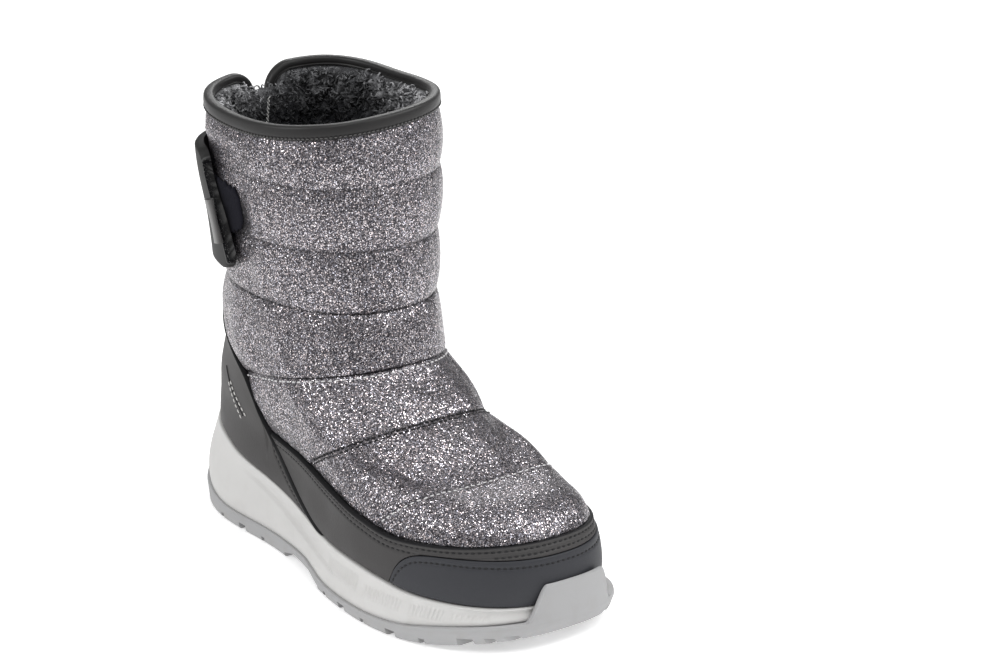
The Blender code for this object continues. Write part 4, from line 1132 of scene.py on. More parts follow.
@dataclass
class QuiltedUpper:
    """The padded upper: one wall with stitched channels, open at the collar and underneath."""

    shop: Workshop
    seams: tuple[Seam, ...] = (
        Seam(45.0, 38.0, 0.95, 0.6, 34, 0.80, 0.90, 0.5, (0.9,), True),
        Seam(1.0, 47.0, 0.57, 0.8, 28, 0.90, 0.80, 0.5, (0.2, 1.5)),
        Seam(-44.0, 67.0, 0.21, 2.0, 28, 0.90, 0.50, 0.8, (1.5,), True),
        Seam(0.0, 99.0, 0.0, 2.4, 30, 0.70, 0.48, 0.75),
        Seam(0.0, 122.0, 0.0, 1.9, 24, 0.80, 0.75, 0.65),
        Seam(0.0, 145.5, 0.0, 1.6, 24, 0.90, 0.85, 0.55))
    collar: Seam = Seam(0.0, 0.0, 0.0, 1.3, 18, 0.80, 1.00, 0.3)
    collar_drop: float = 0.17
    crest: float = 0.46
    count: int = 384
    hidden_rows: int = 8
    merge: float = 0.15
    room: float = 16.0
    line_wide: float = 0.5
    pucker: float = 0.36
    pucker_reach: float = 4.2
    strap_press: Span = (-40.0, -31.0)
    notch_press: Span = (-82.0, -68.0)
    pressed: float = 0.12
    rim_levels: Row = (11, 10.9, 10.8)
    lumpy_span: Span = (10.75, 9.2)
    lumpy_rows: int = 46
    deep_levels: Row = (9, 8.5, 8, 7.4, 6.8, 6, 5, 4, 3, 2, 1, 0)
    creases: tuple[Crease, ...] = (
        Crease((-66.2, -27.9, 94.9), (-32.0, -33.8, 95.5), 2.6, 0.9),
        Crease((12.0, -30.0, 66.5), (27.0, -22.5, 60.8), 2.4, 0.7),
        Crease((14.0, -17.0, 72.6), (27.0, 1.0, 69.0), 5.0, -0.8),
        Crease((11.0, 6.3, 85.1), (6.0, 21.1, 76.2), 3.0, 0.9),
        Crease((40.0, -30.0, 46.0), (56.0, -20.0, 47.5), 4.5, 0.8),
        Crease((22.0, -33.0, 50.0), (42.0, -24.0, 52.0), 4.0, 0.6),
        Crease((-42.0, -33.0, 76.0), (-20.0, -34.0, 82.0), 5.0, 0.5),
        Crease((-25.0, -34.0, 106.0), (-5.0, -31.0, 112.0), 5.5, 0.5),
        Crease((-8.0, -31.0, 130.0), (3.0, -18.0, 136.0), 5.0, 0.45))
    # Soft dips and crests that run through the seams
    crests: tuple[Crease, ...] = (
        Crease((46.0, -46.0, 43.0), (74.0, 66.0, 60.0), 16.0, 1.4),
        Crease((86.0, -46.0, 40.0), (78.0, 62.0, 43.0), 11.0, -1.7))
    # Painted shadow on the fabric round the loop patch: its middle, sizes, darkness and soft edge
    patch_shadow_place: Place = (-45.0, -37.0, 128.5)
    patch_shadow_size: Sizes = (11.0, 9.0, 11.0)
    patch_shadow_dark: float = 0.9
    patch_shadow_edge: Span = (0.6, 1.15)
    # How much a channel's fullness varies along it, and how much its slanting folds show
    uneven: float = 0.16
    slant_share: float = 0.35
    # Counts of waves round the boot in the fullness, the puckers and the slanting folds
    full_waves: tuple[int, ...] = (3, 5, 8, 11)
    fold_waves: tuple[int, ...] = (26, 33, 41, 50, 62)
    slant_waves: tuple[int, ...] = (17, 23, 29)
    # Height of a thread's middle over the cloth
    stitch_lift: float = 0.22
    seam_paths: list[tuple[bool, Array]] = field(default_factory=list)

    def build(self) -> Thing:
        """Build the wall, its stitches and their places in the boot.

        Returns:
            The padded piece.
        """
        edge = NOTCH.half / NOTCH.pitch()
        near = np.array([edge - 0.06, edge - 0.004, edge + 0.004, edge + 0.05])
        columns = np.unique(np.concatenate([np.arange(self.count) * AROUND / self.count, near, AROUND - near]))
        loft = Loft(columns)
        levels, lifts, seam = self._rows(loft)
        top = NOTCH.level(NOTCH.depth(columns))
        levels = np.minimum(levels, top)
        outer = loft.points(levels, lifts)
        outer[0, :, 2] = line_height(SEAT_LINE, outer[0, :, 0]) + GAP
        lumpy_levels = np.linspace(*self.lumpy_span, self.lumpy_rows)
        rows_down = np.concatenate([self.rim_levels, lumpy_levels, self.deep_levels])
        inner_levels = np.minimum(np.repeat(rows_down[:, None], len(columns), axis=1), top)
        full = 1 - smooth_step(0.2, 0.12, top - inner_levels)
        pile_ground = loft.points(inner_levels, FORM.pile_floor)
        lumps = full * LUMPS.at(pile_ground) * (inner_levels > self.deep_levels[0])
        inner = loft.points(inner_levels, (1 - full) * (FORM.wall - FORM.rim_wall) - FORM.wall - lumps)
        inner[0, :, 2] = outer[-1, :, 2]
        inner[-1, :, 2] = line_height(SEAT_LINE, inner[-1, :, 0]) + GAP
        points = np.concatenate([outer, inner])
        rows, count = points.shape[:2]
        faces = Mesh.grid_faces(rows, count, closed_rows=True)
        picks = np.repeat([0 if r < len(outer) - 1 else 1 for r in range(rows)], count)
        tips = np.clip(0.5 * lumps / LUMPS.height - 0.2, 0.0, 1.0)
        values = {"seam": np.concatenate([seam, np.zeros(inner.shape[:2])]),
                  "tip": np.concatenate([np.zeros_like(seam), tips])}
        upper = Mesh.make("upper_quilt", points.reshape(-1, 3), faces,
                          (self.shop.finishes.glitter, self.shop.finishes.pile), values, picks, sharp=75.0)
        self.shop.keep(upper, Slot.QUILT, "upper")
        self._sew()
        return upper

    def _rows(self, loft: Loft) -> tuple[Array, Array, Array]:
        """Levels, lift and darkness of every row of the outer side: nearness to a seam, and painted shadow at
        the overlays' edge and round the loop patch.
        """
        columns = loft.columns
        waves = Waves(11)
        sole = np.ones(len(columns))
        cover = loft.level_of(FORM.cover_line)
        levels = [np.zeros(len(columns))]
        levels += [sole + s * (cover - sole) for s in np.linspace(0, 1, self.hidden_rows)]
        lifts = [np.zeros(len(columns)) for _ in levels]
        # The row at the overlays' edge is fully dark, and the line just above it starts fully dark: painted
        # shadow where the quilt goes under the overlays
        seam = [np.zeros(len(columns)) for _ in levels[:-1]] + [np.ones(len(columns))]
        dark = 1.0
        start = cover
        for channel in (*self.seams, self.collar):
            end = self._end(loft, channel)
            end = np.where(end < start + self.merge, start, end)
            tall = np.linalg.norm(loft.points(end) - loft.points(start), axis=1)
            room = np.clip(tall / self.room, 0.0, 1.0)
            full = channel.puff * room * (1 + self.uneven * waves.ripple(columns, self.full_waves))
            low_fold, high_fold = (waves.ripple(columns, self.fold_waves) for _ in range(2))
            slant = self.slant_share * waves.ripple(columns, self.slant_waves)
            shares = [np.full(len(columns), (1 - math.cos(math.pi * k / channel.rows)) / 2)
                      for k in range(1, channel.rows + 1)]
            sewn = [np.clip(1 - drop / np.maximum(tall, 0.01), 0.0, 1.0) for drop in channel.stitch_rows]
            for number, share in enumerate(shares + sewn):
                level = start + share * (end - start)
                near = np.where(share < self.crest, share / self.crest, (1 - share) / (1 - self.crest))
                power = np.where(share < self.crest, channel.base, channel.power)
                dome = np.clip(1 - (1 - near) ** 2, 0, 1) ** power
                below, above = share * tall, (1 - share) * tall
                fold = sum(n * d / (d + 0.9) * np.exp(-d / self.pucker_reach)
                           for n, d in ((low_fold, below), (high_fold, above)))
                points = loft.points(level)
                lift = full * dome + self.pucker * room * (fold + slant * dome)
                lift = np.maximum(lift, 0.0) * self._press(points) - self._trough(points, self.creases) * dome
                lift -= self._trough(points, self.crests)
                if number >= len(shares):
                    threads = loft.points(level, lift + self.stitch_lift)
                    row = np.where((tall > self.room / 4)[:, None], threads, np.nan)
                    self.seam_paths.append((channel.bright, row))
                    continue
                levels.append(level)
                lifts.append(lift)
                line = np.maximum(dark * bell(below, self.line_wide),
                                  channel.dark * bell(above, self.line_wide))
                # The seam line and the painted shadow round the loop patch share one mask
                seam.append(np.maximum(line, self._patch_shadow(points)))
            start, dark = end, channel.dark
        levels.append(np.full(len(columns), float(FORM.rim)))
        lifts.append(np.zeros(len(columns)))
        seam.append(np.zeros(len(columns)))
        return np.stack(levels), np.stack(lifts), np.stack(seam)

    def _patch_shadow(self, points: Array) -> Array:
        """Painted shadow on the fabric round the loop patch."""
        gap = np.linalg.norm((points - np.array(self.patch_shadow_place)) / np.array(self.patch_shadow_size), axis=1)
        return self.patch_shadow_dark * (1 - smooth_step(*self.patch_shadow_edge, gap))

    def _press(self, points: Array) -> Array:
        """Share of the puff left where the strap and the notch hold the wall flat."""
        x, z = points[:, 0], points[:, 2]
        low, high = STRAP_SPAN
        beside = 1 - smooth_step(*self.strap_press, x)
        behind = 1 - smooth_step(*self.notch_press, x)
        above = smooth_step(high, high + 6, z)
        under = smooth_step(low - 8, low, z) * np.where(above > 0, np.maximum(1 - above, behind), 1.0)
        return 1 - (1 - self.pressed) * under * beside

    def _end(self, loft: Loft, channel: Seam) -> Array:
        """Level of a channel's upper seam; the collar's follows the rim, under the binding."""
        if channel is self.collar:
            return np.full(len(loft.columns), FORM.rim - self.collar_drop)
        return loft.level_of(lambda at: channel.z + channel.slope * (at - channel.x))

    @staticmethod
    def _trough(points: Array, creases: Sequence[Crease]) -> Array:
        """Depth of the listed creases."""
        total = np.zeros(len(points))
        for crease in creases:
            first = np.array(crease.start)
            way = np.array(crease.end) - first
            away = points - first
            share = np.clip(away @ way / (way @ way), 0.0, 1.0)
            gap = np.linalg.norm(away - share[:, None] * way, axis=1)
            total += crease.depth * bell(gap, crease.width) * np.sin(math.pi * np.clip(share, 0.08, 0.92))
        return total

    def _sew(self) -> None:
        """Sew the channels with bright or dark thread."""
        bright, dark = [], []
        for shiny, path in self.seam_paths:
            open_run = ~np.isnan(path[:, 0])
            pieces = np.split(np.arange(len(path)), np.nonzero(np.diff(open_run.astype(int)))[0] + 1)
            runs = [path[p] for p in pieces if open_run[p[0]] and len(p) > 4]
            (bright if shiny else dark).extend(runs)
        finishes, sew = self.shop.finishes, self.shop.sew
        sew("quilt_stitches_bright", bright, finishes.silver_thread, (2.6, 1.7, 0.36), Slot.QUILT)
        sew("quilt_stitches_dark", dark, finishes.black_thread, (2.3, 1.7, 0.27), Slot.QUILT)


@dataclass
class Overlay:
    """A leather overlay that follows the upper between two lines of heights."""

    shop: Workshop
    name: str
    node: str
    slot: Slot
    material: Material
    columns: Array
    low: HeightLine
    high: HeightLine
    offset: float = 0.35
    thick: float = 1.5
    rounding: float = 0.9
    low_rounding: float = 0.5
    trenches: Row = ()
    bead: float = 0.0
    dark_edge: float = 0.5
    top_rows: Row = (0, 0.1, 0.25, 0.45, 0.7, 1.0, 1.35, 1.7, 2.0, 2.3, 2.6, 2.9, 3.25,
                                   3.7, 4.2, 4.6, 4.9, 5.2, 5.5, 5.8, 6.2, 6.8, 7.6)
    low_rows: Row = (1.5, 1.0, 0.6, 0.3, 0.1, 0.0)
    middle_rows: int = 12
    back_rows: int = 12
    back_drop: float = 0.25
    trench_deep: float = 0.32
    trench_wide: float = 0.42
    # Least room between a row of stitches and the lower edge
    path_room: float = 0.8
    outer: Array = field(default_factory=lambda: np.zeros(0))
    from_top: Array = field(default_factory=lambda: np.zeros(0))

    def build(self) -> Thing:
        """Build the closed panel with its rolled edge and sewn trenches."""
        loft = Loft(self.columns)
        low, high = loft.level_of(self.low), loft.level_of(self.high)
        foot, head = loft.points(low), loft.points(high)
        tall = np.maximum(np.linalg.norm(head - foot, axis=1), 0.2)
        lean = self._lean(head)
        top, base = np.array(self.top_rows), np.array(self.low_rows)
        fit = np.minimum(1.0, tall / (top[-1] / lean + base[0] + 2.0))
        down = [d * fit / lean for d in top]
        start, end = down[-1], tall - base[0] * fit
        down += [start + s * (end - start) for s in np.linspace(0, 1, self.middle_rows + 2)[1:-1]]
        down += [tall - d * fit for d in base]
        down = np.stack(down)
        levels = high - down / tall * (high - low)
        from_top, from_low = down * lean, tall - down
        self.from_top = from_top
        self.outer = loft.points(levels, self.offset + self._relief(from_top, from_low))
        rise = np.linspace(0, 1, self.back_rows)[:, None]
        back = loft.points(low + rise * (high - low), self.offset - self.back_drop)
        rings = np.concatenate([self.outer, back]).transpose(1, 0, 2)
        count, around = rings.shape[:2]
        edge = 1 - smooth_step(0.7 * self.dark_edge, 1.2 * self.dark_edge, from_top)
        values = {"edge": np.concatenate([edge, np.ones((self.back_rows, count))]).T}
        panel = Mesh.make(self.name, rings.reshape(-1, 3), Mesh.tube(count, around), (self.material,), values,
                          sharp=60.0)
        return self.shop.keep(panel, self.slot, self.node)

    @staticmethod
    def _lean(head: Array) -> Array:
        """Cosine of the top edge's slope, which turns heights into distances from the edge."""
        run = np.hypot(np.gradient(head[:, 0]), np.gradient(head[:, 1]))
        slope = np.gradient(head[:, 2]) / np.maximum(run, 0.01)
        return 1.0 / np.sqrt(1.0 + slope ** 2)

    def _relief(self, from_top: Array, from_low: Array) -> Array:
        """Height of the panel's face above its underside."""
        near = np.clip(np.minimum(from_top / self.rounding, from_low / self.low_rounding), 0.0, 1.0)
        face = self.thick * np.sqrt(1.0 - (1.0 - near) ** 2)
        first = self.trenches[0] if self.trenches else 1.0
        face += self.bead * bell(from_top - first / 2, first / 3)
        for trench in self.trenches:
            face -= self.trench_deep * bell(from_top - trench, self.trench_wide)
        return face

    def path(self, from_top: float) -> Array:
        """Points on the panel's face at a distance from its top edge."""
        points = []
        for c in range(self.outer.shape[1]):
            if self.from_top[-1, c] >= from_top + self.path_room:
                points.append([np.interp(from_top, self.from_top[:, c], self.outer[:, c, k]) for k in range(3)])
        return np.array(points)


class LeatherPanels:
    """The three overlays round the foot: mudguard, heel counter and toe cap, with their rows of stitches."""

    REST = 0.8
    TIP = 0.8
    JOIN = 0.03
    STEP = 0.11
    # Columns of the toe cap's two ends, and their closer step
    CORNER = 1.2
    CORNER_STEP = 0.03
    # Places along the boot and heights of the tacks' two rows and of the slit between them
    TACKS = (((-62.6, 56.4), (-59.0, 49.3), (-55.8, 45.2)), ((-60.6, 57.4), (-55.8, 52.0), (-51.9, 47.6)))
    SLIT = ((-65.9, 61.8), (-61.0, 56.4), (-57.4, 51.6), (-54.0, 46.6))

    def __init__(self, shop: Workshop) -> None:
        """Keep the workshop."""
        self.shop = shop

    @classmethod
    def resting_line(cls, x: Array) -> Array:
        """Lower edge of the overlays, just clear of the midsole."""
        return line_height(SOLE_LINE, x) + cls.REST

    @staticmethod
    def meeting(first: HeightLine, second: HeightLine, start: float, end: float) -> float:
        """Column where one line of heights on the boot drops below, or rises past, another."""
        columns = np.linspace(start, end, 400)
        loft = Loft(columns)
        points = loft.points(loft.level_of(first))
        gap = points[:, 2] - second(points[:, 0])
        k = int(np.argmax(np.sign(gap) != np.sign(gap[0])))
        return float(np.interp(0.0, *zip(*sorted(((gap[k - 1], columns[k - 1]), (gap[k], columns[k]))))))

    def _span(self, line: HeightLine, over: HeightLine, edges: Sequence[float]) -> Span:
        """Columns on the lateral and the medial side where two lines meet."""
        return self.meeting(line, over, *edges[:2]), self.meeting(line, over, *edges[2:])

    def build(self) -> None:
        """Build the overlays and sew them."""
        finishes, sew = self.shop.finishes, self.shop.sew
        near_heel = (2.0, HALF - 4.0, AROUND - 2.0, HALF + 4.0)
        near_toe = (HALF / 2, HALF - 1.0, AROUND - HALF / 2, HALF + 1.0)

        def tip_line(x: Array) -> Array:
            """Height at which a panel that runs down to the midsole is cut off."""
            return self.resting_line(x) + self.TIP

        def guard_foot(x: Array) -> Array:
            """Highest of the midsole, the counter's edge and the toe cap's edge."""
            edges = np.maximum(FORM.counter_line(x), FORM.cap_line(x)) + self.JOIN
            return np.maximum(self.resting_line(x), edges)

        first, last = self._span(FORM.counter_line, tip_line, near_heel)
        counter = Overlay(self.shop, "heel_counter_panel", "heel_counter", Slot.OVERLAY, finishes.overlay,
                          np.arange(last - AROUND, first, self.STEP), self.resting_line, FORM.counter_line,
                          trenches=(1.9, 3.4), bead=0.6, dark_edge=2.1)
        counter.build()
        first, last = self._span(FORM.counter_line, FORM.guard_line, near_heel)
        guard = Overlay(self.shop, "mudguard_panel", "mudguard", Slot.OVERLAY, finishes.overlay,
                        np.arange(first + 0.05, last - 0.05, self.STEP), guard_foot, FORM.guard_line,
                        trenches=(1.9, 3.9), bead=0.25, low_rounding=0.25, dark_edge=0.8)
        guard.build()
        first, last = self._span(FORM.cap_line, tip_line, near_toe)
        corner = np.arange(0.0, self.CORNER, self.CORNER_STEP)
        middle = np.arange(first + self.CORNER, last - self.CORNER, self.STEP)
        columns = np.concatenate([first + corner, middle, last - corner[::-1]])
        cap = Overlay(self.shop, "toe_cap_panel", "toe_cap", Slot.TOE, finishes.toe, columns, self.resting_line,
                      FORM.cap_line, thick=1.75, rounding=0.35, trenches=(2.2,), dark_edge=0.1)
        cap.build()
        rows = [counter.path(3.4), guard.path(1.9), guard.path(3.9)]
        sew("overlay_stitches", rows, finishes.black_thread, (2.3, 1.6, 0.38), Slot.OVERLAY)
        sew("toe_stitches", [cap.path(2.2)], finishes.black_thread, (2.2, 1.5, 0.36), Slot.TOE)
        self._bar_tacks()

    def _bar_tacks(self) -> None:
        """Two short pale rows along a slit on either side of the counter."""
        finishes, sew = self.shop.finishes, self.shop.sew
        rows = [self._line(row, side) for side in Side for row in self.TACKS]
        slits = [self._line(self.SLIT, side) for side in Side]
        sew("counter_bar_stitches", rows, finishes.pale_thread, (2.2, 1.6, 0.28), Slot.OVERLAY)
        sew("counter_slit", slits, finishes.black_thread, (0.6, 1.1, 0.2), Slot.OVERLAY)

    def _line(self, places: Sequence[Span], side: Side) -> Array:
        """Points along a row of places on the counter's face."""
        x, z = np.array(places).T
        share, fine = np.linspace(0, 1, len(x)), np.linspace(0, 1, 12)
        spots = zip(np.interp(fine, share, x), np.interp(fine, share, z))
        return np.array([self._spot(at, up, side) for at, up in spots])

    @staticmethod
    def _spot(x: float, z: float, side: Side) -> Array:
        """Point on the counter's face at a place along the boot and a height."""
        columns = np.linspace(1.0, HALF - 4.0, 200)
        loft = Loft(columns if side is Side.LATERAL else AROUND - columns)
        points = loft.points(loft.level_of(lambda at: np.full_like(at, z)), 2.0)
        return np.array([np.interp(x, points[:, 0], points[:, k]) for k in range(3)])


@dataclass
class CollarBinding:
    """Satin tape folded over the rim, from the notch round the front and home."""

    shop: Workshop
    thick: float = 0.95
    face: float = 4.1
    notch_face: float = 3.6
    # Height of the inner face as a share of the outer
    inside: float = 0.55
    end: float = 13.0
    arc_steps: int = 22
    step: float = 0.16
    face_rows: int = 14
    top_rows: int = 16
    # Where the faces end and the fold begins, below the wall's edge
    shoulder: float = 0.4
    squareness: float = 0.7

    def build(self) -> Thing:
        """Sweep the folded tape and sew it."""
        stations = self._stations()
        pitch = NOTCH.pitch()
        loft = Loft(stations[:, 0] / pitch)
        levels = NOTCH.level(stations[:, 1])
        middle = loft.points(levels, -FORM.rim_wall / 2)
        across = loft.normals(levels)
        along = np.gradient(middle, axis=0)
        up = np.cross(across, along)
        up /= np.linalg.norm(up, axis=1, keepdims=True)
        waver = 1 + 0.025 * np.sin(stations[:, 0] / 9.0) + 0.02 * np.sin(stations[:, 0] / 3.7)
        rings = []
        for k, face in enumerate(stations[:, 2]):
            profile = self._profile(face, waver[k])
            rings.append(middle[k] + profile[:, :1] * up[k] + profile[:, 1:] * across[k])
        rings = np.stack(rings)
        tape = Mesh.make("collar_tape", rings.reshape(-1, 3), Mesh.tube(*rings.shape[:2]),
                         (self.shop.finishes.binding,), sharp=60.0)
        self.shop.keep(tape, Slot.BINDING, "collar_binding")
        hem = middle - (stations[:, 2:] - 0.7) * up + (FORM.rim_wall / 2 + GAP + self.thick + 0.02) * across
        self.shop.sew("collar_stitches", [hem], self.shop.finishes.hem_thread, (1.7, 1.15, 0.26), Slot.BINDING)
        return tape

    def _stations(self) -> Array:
        """Rows of distance round from the back, depth below the rim and height of the tape's face."""
        turn = np.linspace(0, math.pi / 2, self.arc_steps)
        across = NOTCH.half + NOTCH.radius * (1 - np.cos(turn))
        deep = NOTCH.radius * (1 - np.sin(turn))
        straight = np.linspace(self.end, NOTCH.radius, 8)[:-1]
        across = np.concatenate([np.full(len(straight), NOTCH.half), across])
        deep = np.concatenate([straight, deep])
        face = self.notch_face + (self.face - self.notch_face) * (1 - deep / self.end)
        around = AROUND * NOTCH.pitch()
        whole = np.arange(across[-1] + 0.8, around - across[-1] - 0.4, self.step * NOTCH.pitch())
        rows = [np.stack([across, deep, face], 1)]
        rows.append(np.stack([whole, np.zeros(len(whole)), np.full(len(whole), self.face)], 1))
        rows.append(np.stack([around - across, deep, face], 1)[::-1])
        return np.concatenate(rows)

    def _profile(self, face: float, waver: float) -> Array:
        """Section of the tape: height above the wall's edge, place across the wall."""
        inner = FORM.rim_wall / 2 + GAP
        outer = inner + self.thick
        peak = GAP + self.thick
        near, far = (self._side(tall, waver, inner) for tall in (face, self.inside * face))
        far[:, 1] = -np.minimum(far[:, 1], outer)
        turn = np.linspace(0, math.pi, self.top_rows + 2)[1:-1]
        rise, way = np.sin(turn), np.cos(turn)
        crown = -self.shoulder + (peak + self.shoulder) * waver * rise ** self.squareness
        top = np.stack([crown, outer * signed_power(way, self.squareness)], 1)
        under = np.array([(-self.inside * face, -inner), (GAP, -inner), (GAP, inner), (-face, inner)])
        return np.concatenate([near, top, far[::-1], under])

    def _side(self, tall: float, waver: float, inner: float) -> Array:
        """One face of the tape from its hem up: height and place across the wall."""
        heights = np.linspace(-tall, -self.shoulder, self.face_rows)
        from_hem = heights + tall
        hem = 1 - np.clip(1 - from_hem / 0.6, 0, 1) ** 2 * 0.5
        swell = 0.10 * waver * np.sin(math.pi * np.clip((from_hem - 1.2) / (tall - 1.2), 0, 1))
        width = inner + self.thick * hem + swell - 0.3 * bell(from_hem - 0.9, 0.4)
        return np.stack([heights, width], 1)


@dataclass
class PileLining:
    """Curled pile inside the shaft, on the insole and on the gusset behind the notch."""

    shop: Workshop
    rim_clear: float = 2.7
    shaft_foot: float = 5.2
    shaft_split: float = 9.7
    shaft_rows: int = 40
    board_thick: float = 4.0
    board_ease: float = 0.6
    gusset_half: float = 15.0
    gusset_span: Span = (135.4, 163.4)
    gusset_deep: float = 5.9
    gusset_thick: float = 1.2
    gusset_slope: float = 0.3
    collar: Planting = Planting(0.64, 3, 0.7, 1.15)
    shaft: Planting = Planting(1.7, 5, 1.5, 2.2)
    sock: Planting = Planting(2.2, 9, 1.2, 1.7)
    fur: Planting = Planting(0.7, 13, 0.55, 0.95)

    def build(self) -> None:
        """Build the pile, the insole and the gusset."""
        columns = np.arange(0, AROUND, 0.25)
        loft = Loft(columns)
        top = NOTCH.level(NOTCH.depth(columns) + self.rim_clear)
        foot, split = (np.full(len(columns), level) for level in (self.shaft_foot, self.shaft_split))
        self._shaft("collar_pile", loft, split, top, self.collar)
        self._shaft("shaft_pile", loft, foot, split, self.shaft)
        self._insole()
        self._gusset()

    def _shaft(self, name: str, loft: Loft, low: Array, high: Array, planting: Planting) -> None:
        """Plant the pile on a band of the inner wall."""
        rows = self.shaft_rows
        levels = np.stack([low + s * (high - low) for s in np.linspace(0, 1, rows)])
        flat = loft.points(levels, FORM.pile_floor)
        points = loft.points(levels, FORM.pile_floor - LUMPS.at(flat))
        faces = [f[::-1] for f in Mesh.grid_faces(rows, len(loft.columns))]
        self._plant(name, points.reshape(-1, 3), faces, planting)

    def _plant(self, name: str, points: Array, faces: Faces, planting: Planting) -> None:
        """Plant pile on an open sheet that keeps the way its faces are wound."""
        mesh = bpy.data.meshes.new(name)
        mesh.from_pydata((points * MM).tolist(), [], faces)
        pile = self.shop.pile.plant(Mesh.link(name, mesh), self.shop.finishes.pile, planting)
        self.shop.keep(pile, Slot.PILE)

    def _insole(self) -> None:
        """Board on the midsole's seat, with short pile."""
        columns = np.arange(0, AROUND, 0.5)
        loft = Loft(columns)
        low = at_height(loft.points(np.zeros(len(columns)), -FORM.wall - self.board_ease), SEAT_LINE, GAP)
        rings = [low]
        for inset, lift in ((0.0, 0.55), (0.15, 0.8), (0.6, 0.96), (1.4, 1.0)):
            rings.append(at_height(inset_loop(low, inset), SEAT_LINE, GAP + lift * self.board_thick))
        count = len(columns)
        board = Mesh.make("insole_board", np.concatenate(rings), Mesh.capped(len(rings), count),
                          (self.shop.finishes.pile,))
        self.shop.keep(board, Slot.PILE, "insole")
        top = rings[-1] - np.array([0.0, 0.0, 0.3])
        self._plant("insole_pile", inset_loop(top, 1.5), Mesh.ladder(0, count), self.sock)

    def _gusset(self) -> None:
        """Soft panel behind the notch, furred on both sides and along its top."""
        half = self.gusset_half / NOTCH.pitch()
        columns = np.linspace(-half, half, 31)
        loft = Loft(columns)
        low, high = (loft.level_of(lambda x, z=z: np.full_like(x, z)) for z in self.gusset_span)
        rows = 15
        shares = np.linspace(0, 1, rows)
        levels = np.stack([low + s * (high - low) for s in shares])
        across = np.abs(columns / half)
        from_edge = np.minimum(1 - across[None, :], np.minimum(shares, 1 - shares)[:, None] * 2)
        swell = np.clip(from_edge / self.gusset_slope, 0, 1)
        plump = 0.5 * self.gusset_thick * np.sqrt(1 - (1 - swell) ** 2)
        middle = -self.gusset_deep + self.gusset_thick / 2
        outer, inner = loft.points(levels, middle + plump), loft.points(levels, middle - plump)
        count = len(columns)
        faces = Mesh.grid_faces(rows, count, closed_columns=False)
        back = [tuple(rows * count + k for k in f[::-1]) for f in faces]
        points = np.concatenate([outer.reshape(-1, 3), inner.reshape(-1, 3)])
        panel = Mesh.make("gusset_panel", points, faces + back, (self.shop.finishes.pile,))
        self.shop.keep(panel, Slot.PILE, "gusset")
        self._plant("gusset_pile", points, faces + back, self.fur)
        heights = np.arange(160.0, 148.5, -0.75)
        zigzag = [(-75.6 - 0.12 * (160.0 - z), -0.5 + 0.45 * (-1) ** k, z) for k, z in enumerate(heights)]
        thread = self.shop.finishes.pale_thread
        self.shop.sew("gusset_stitches", [np.array(zigzag)], thread, (0.8, 0.9, 0.17), Slot.PILE)


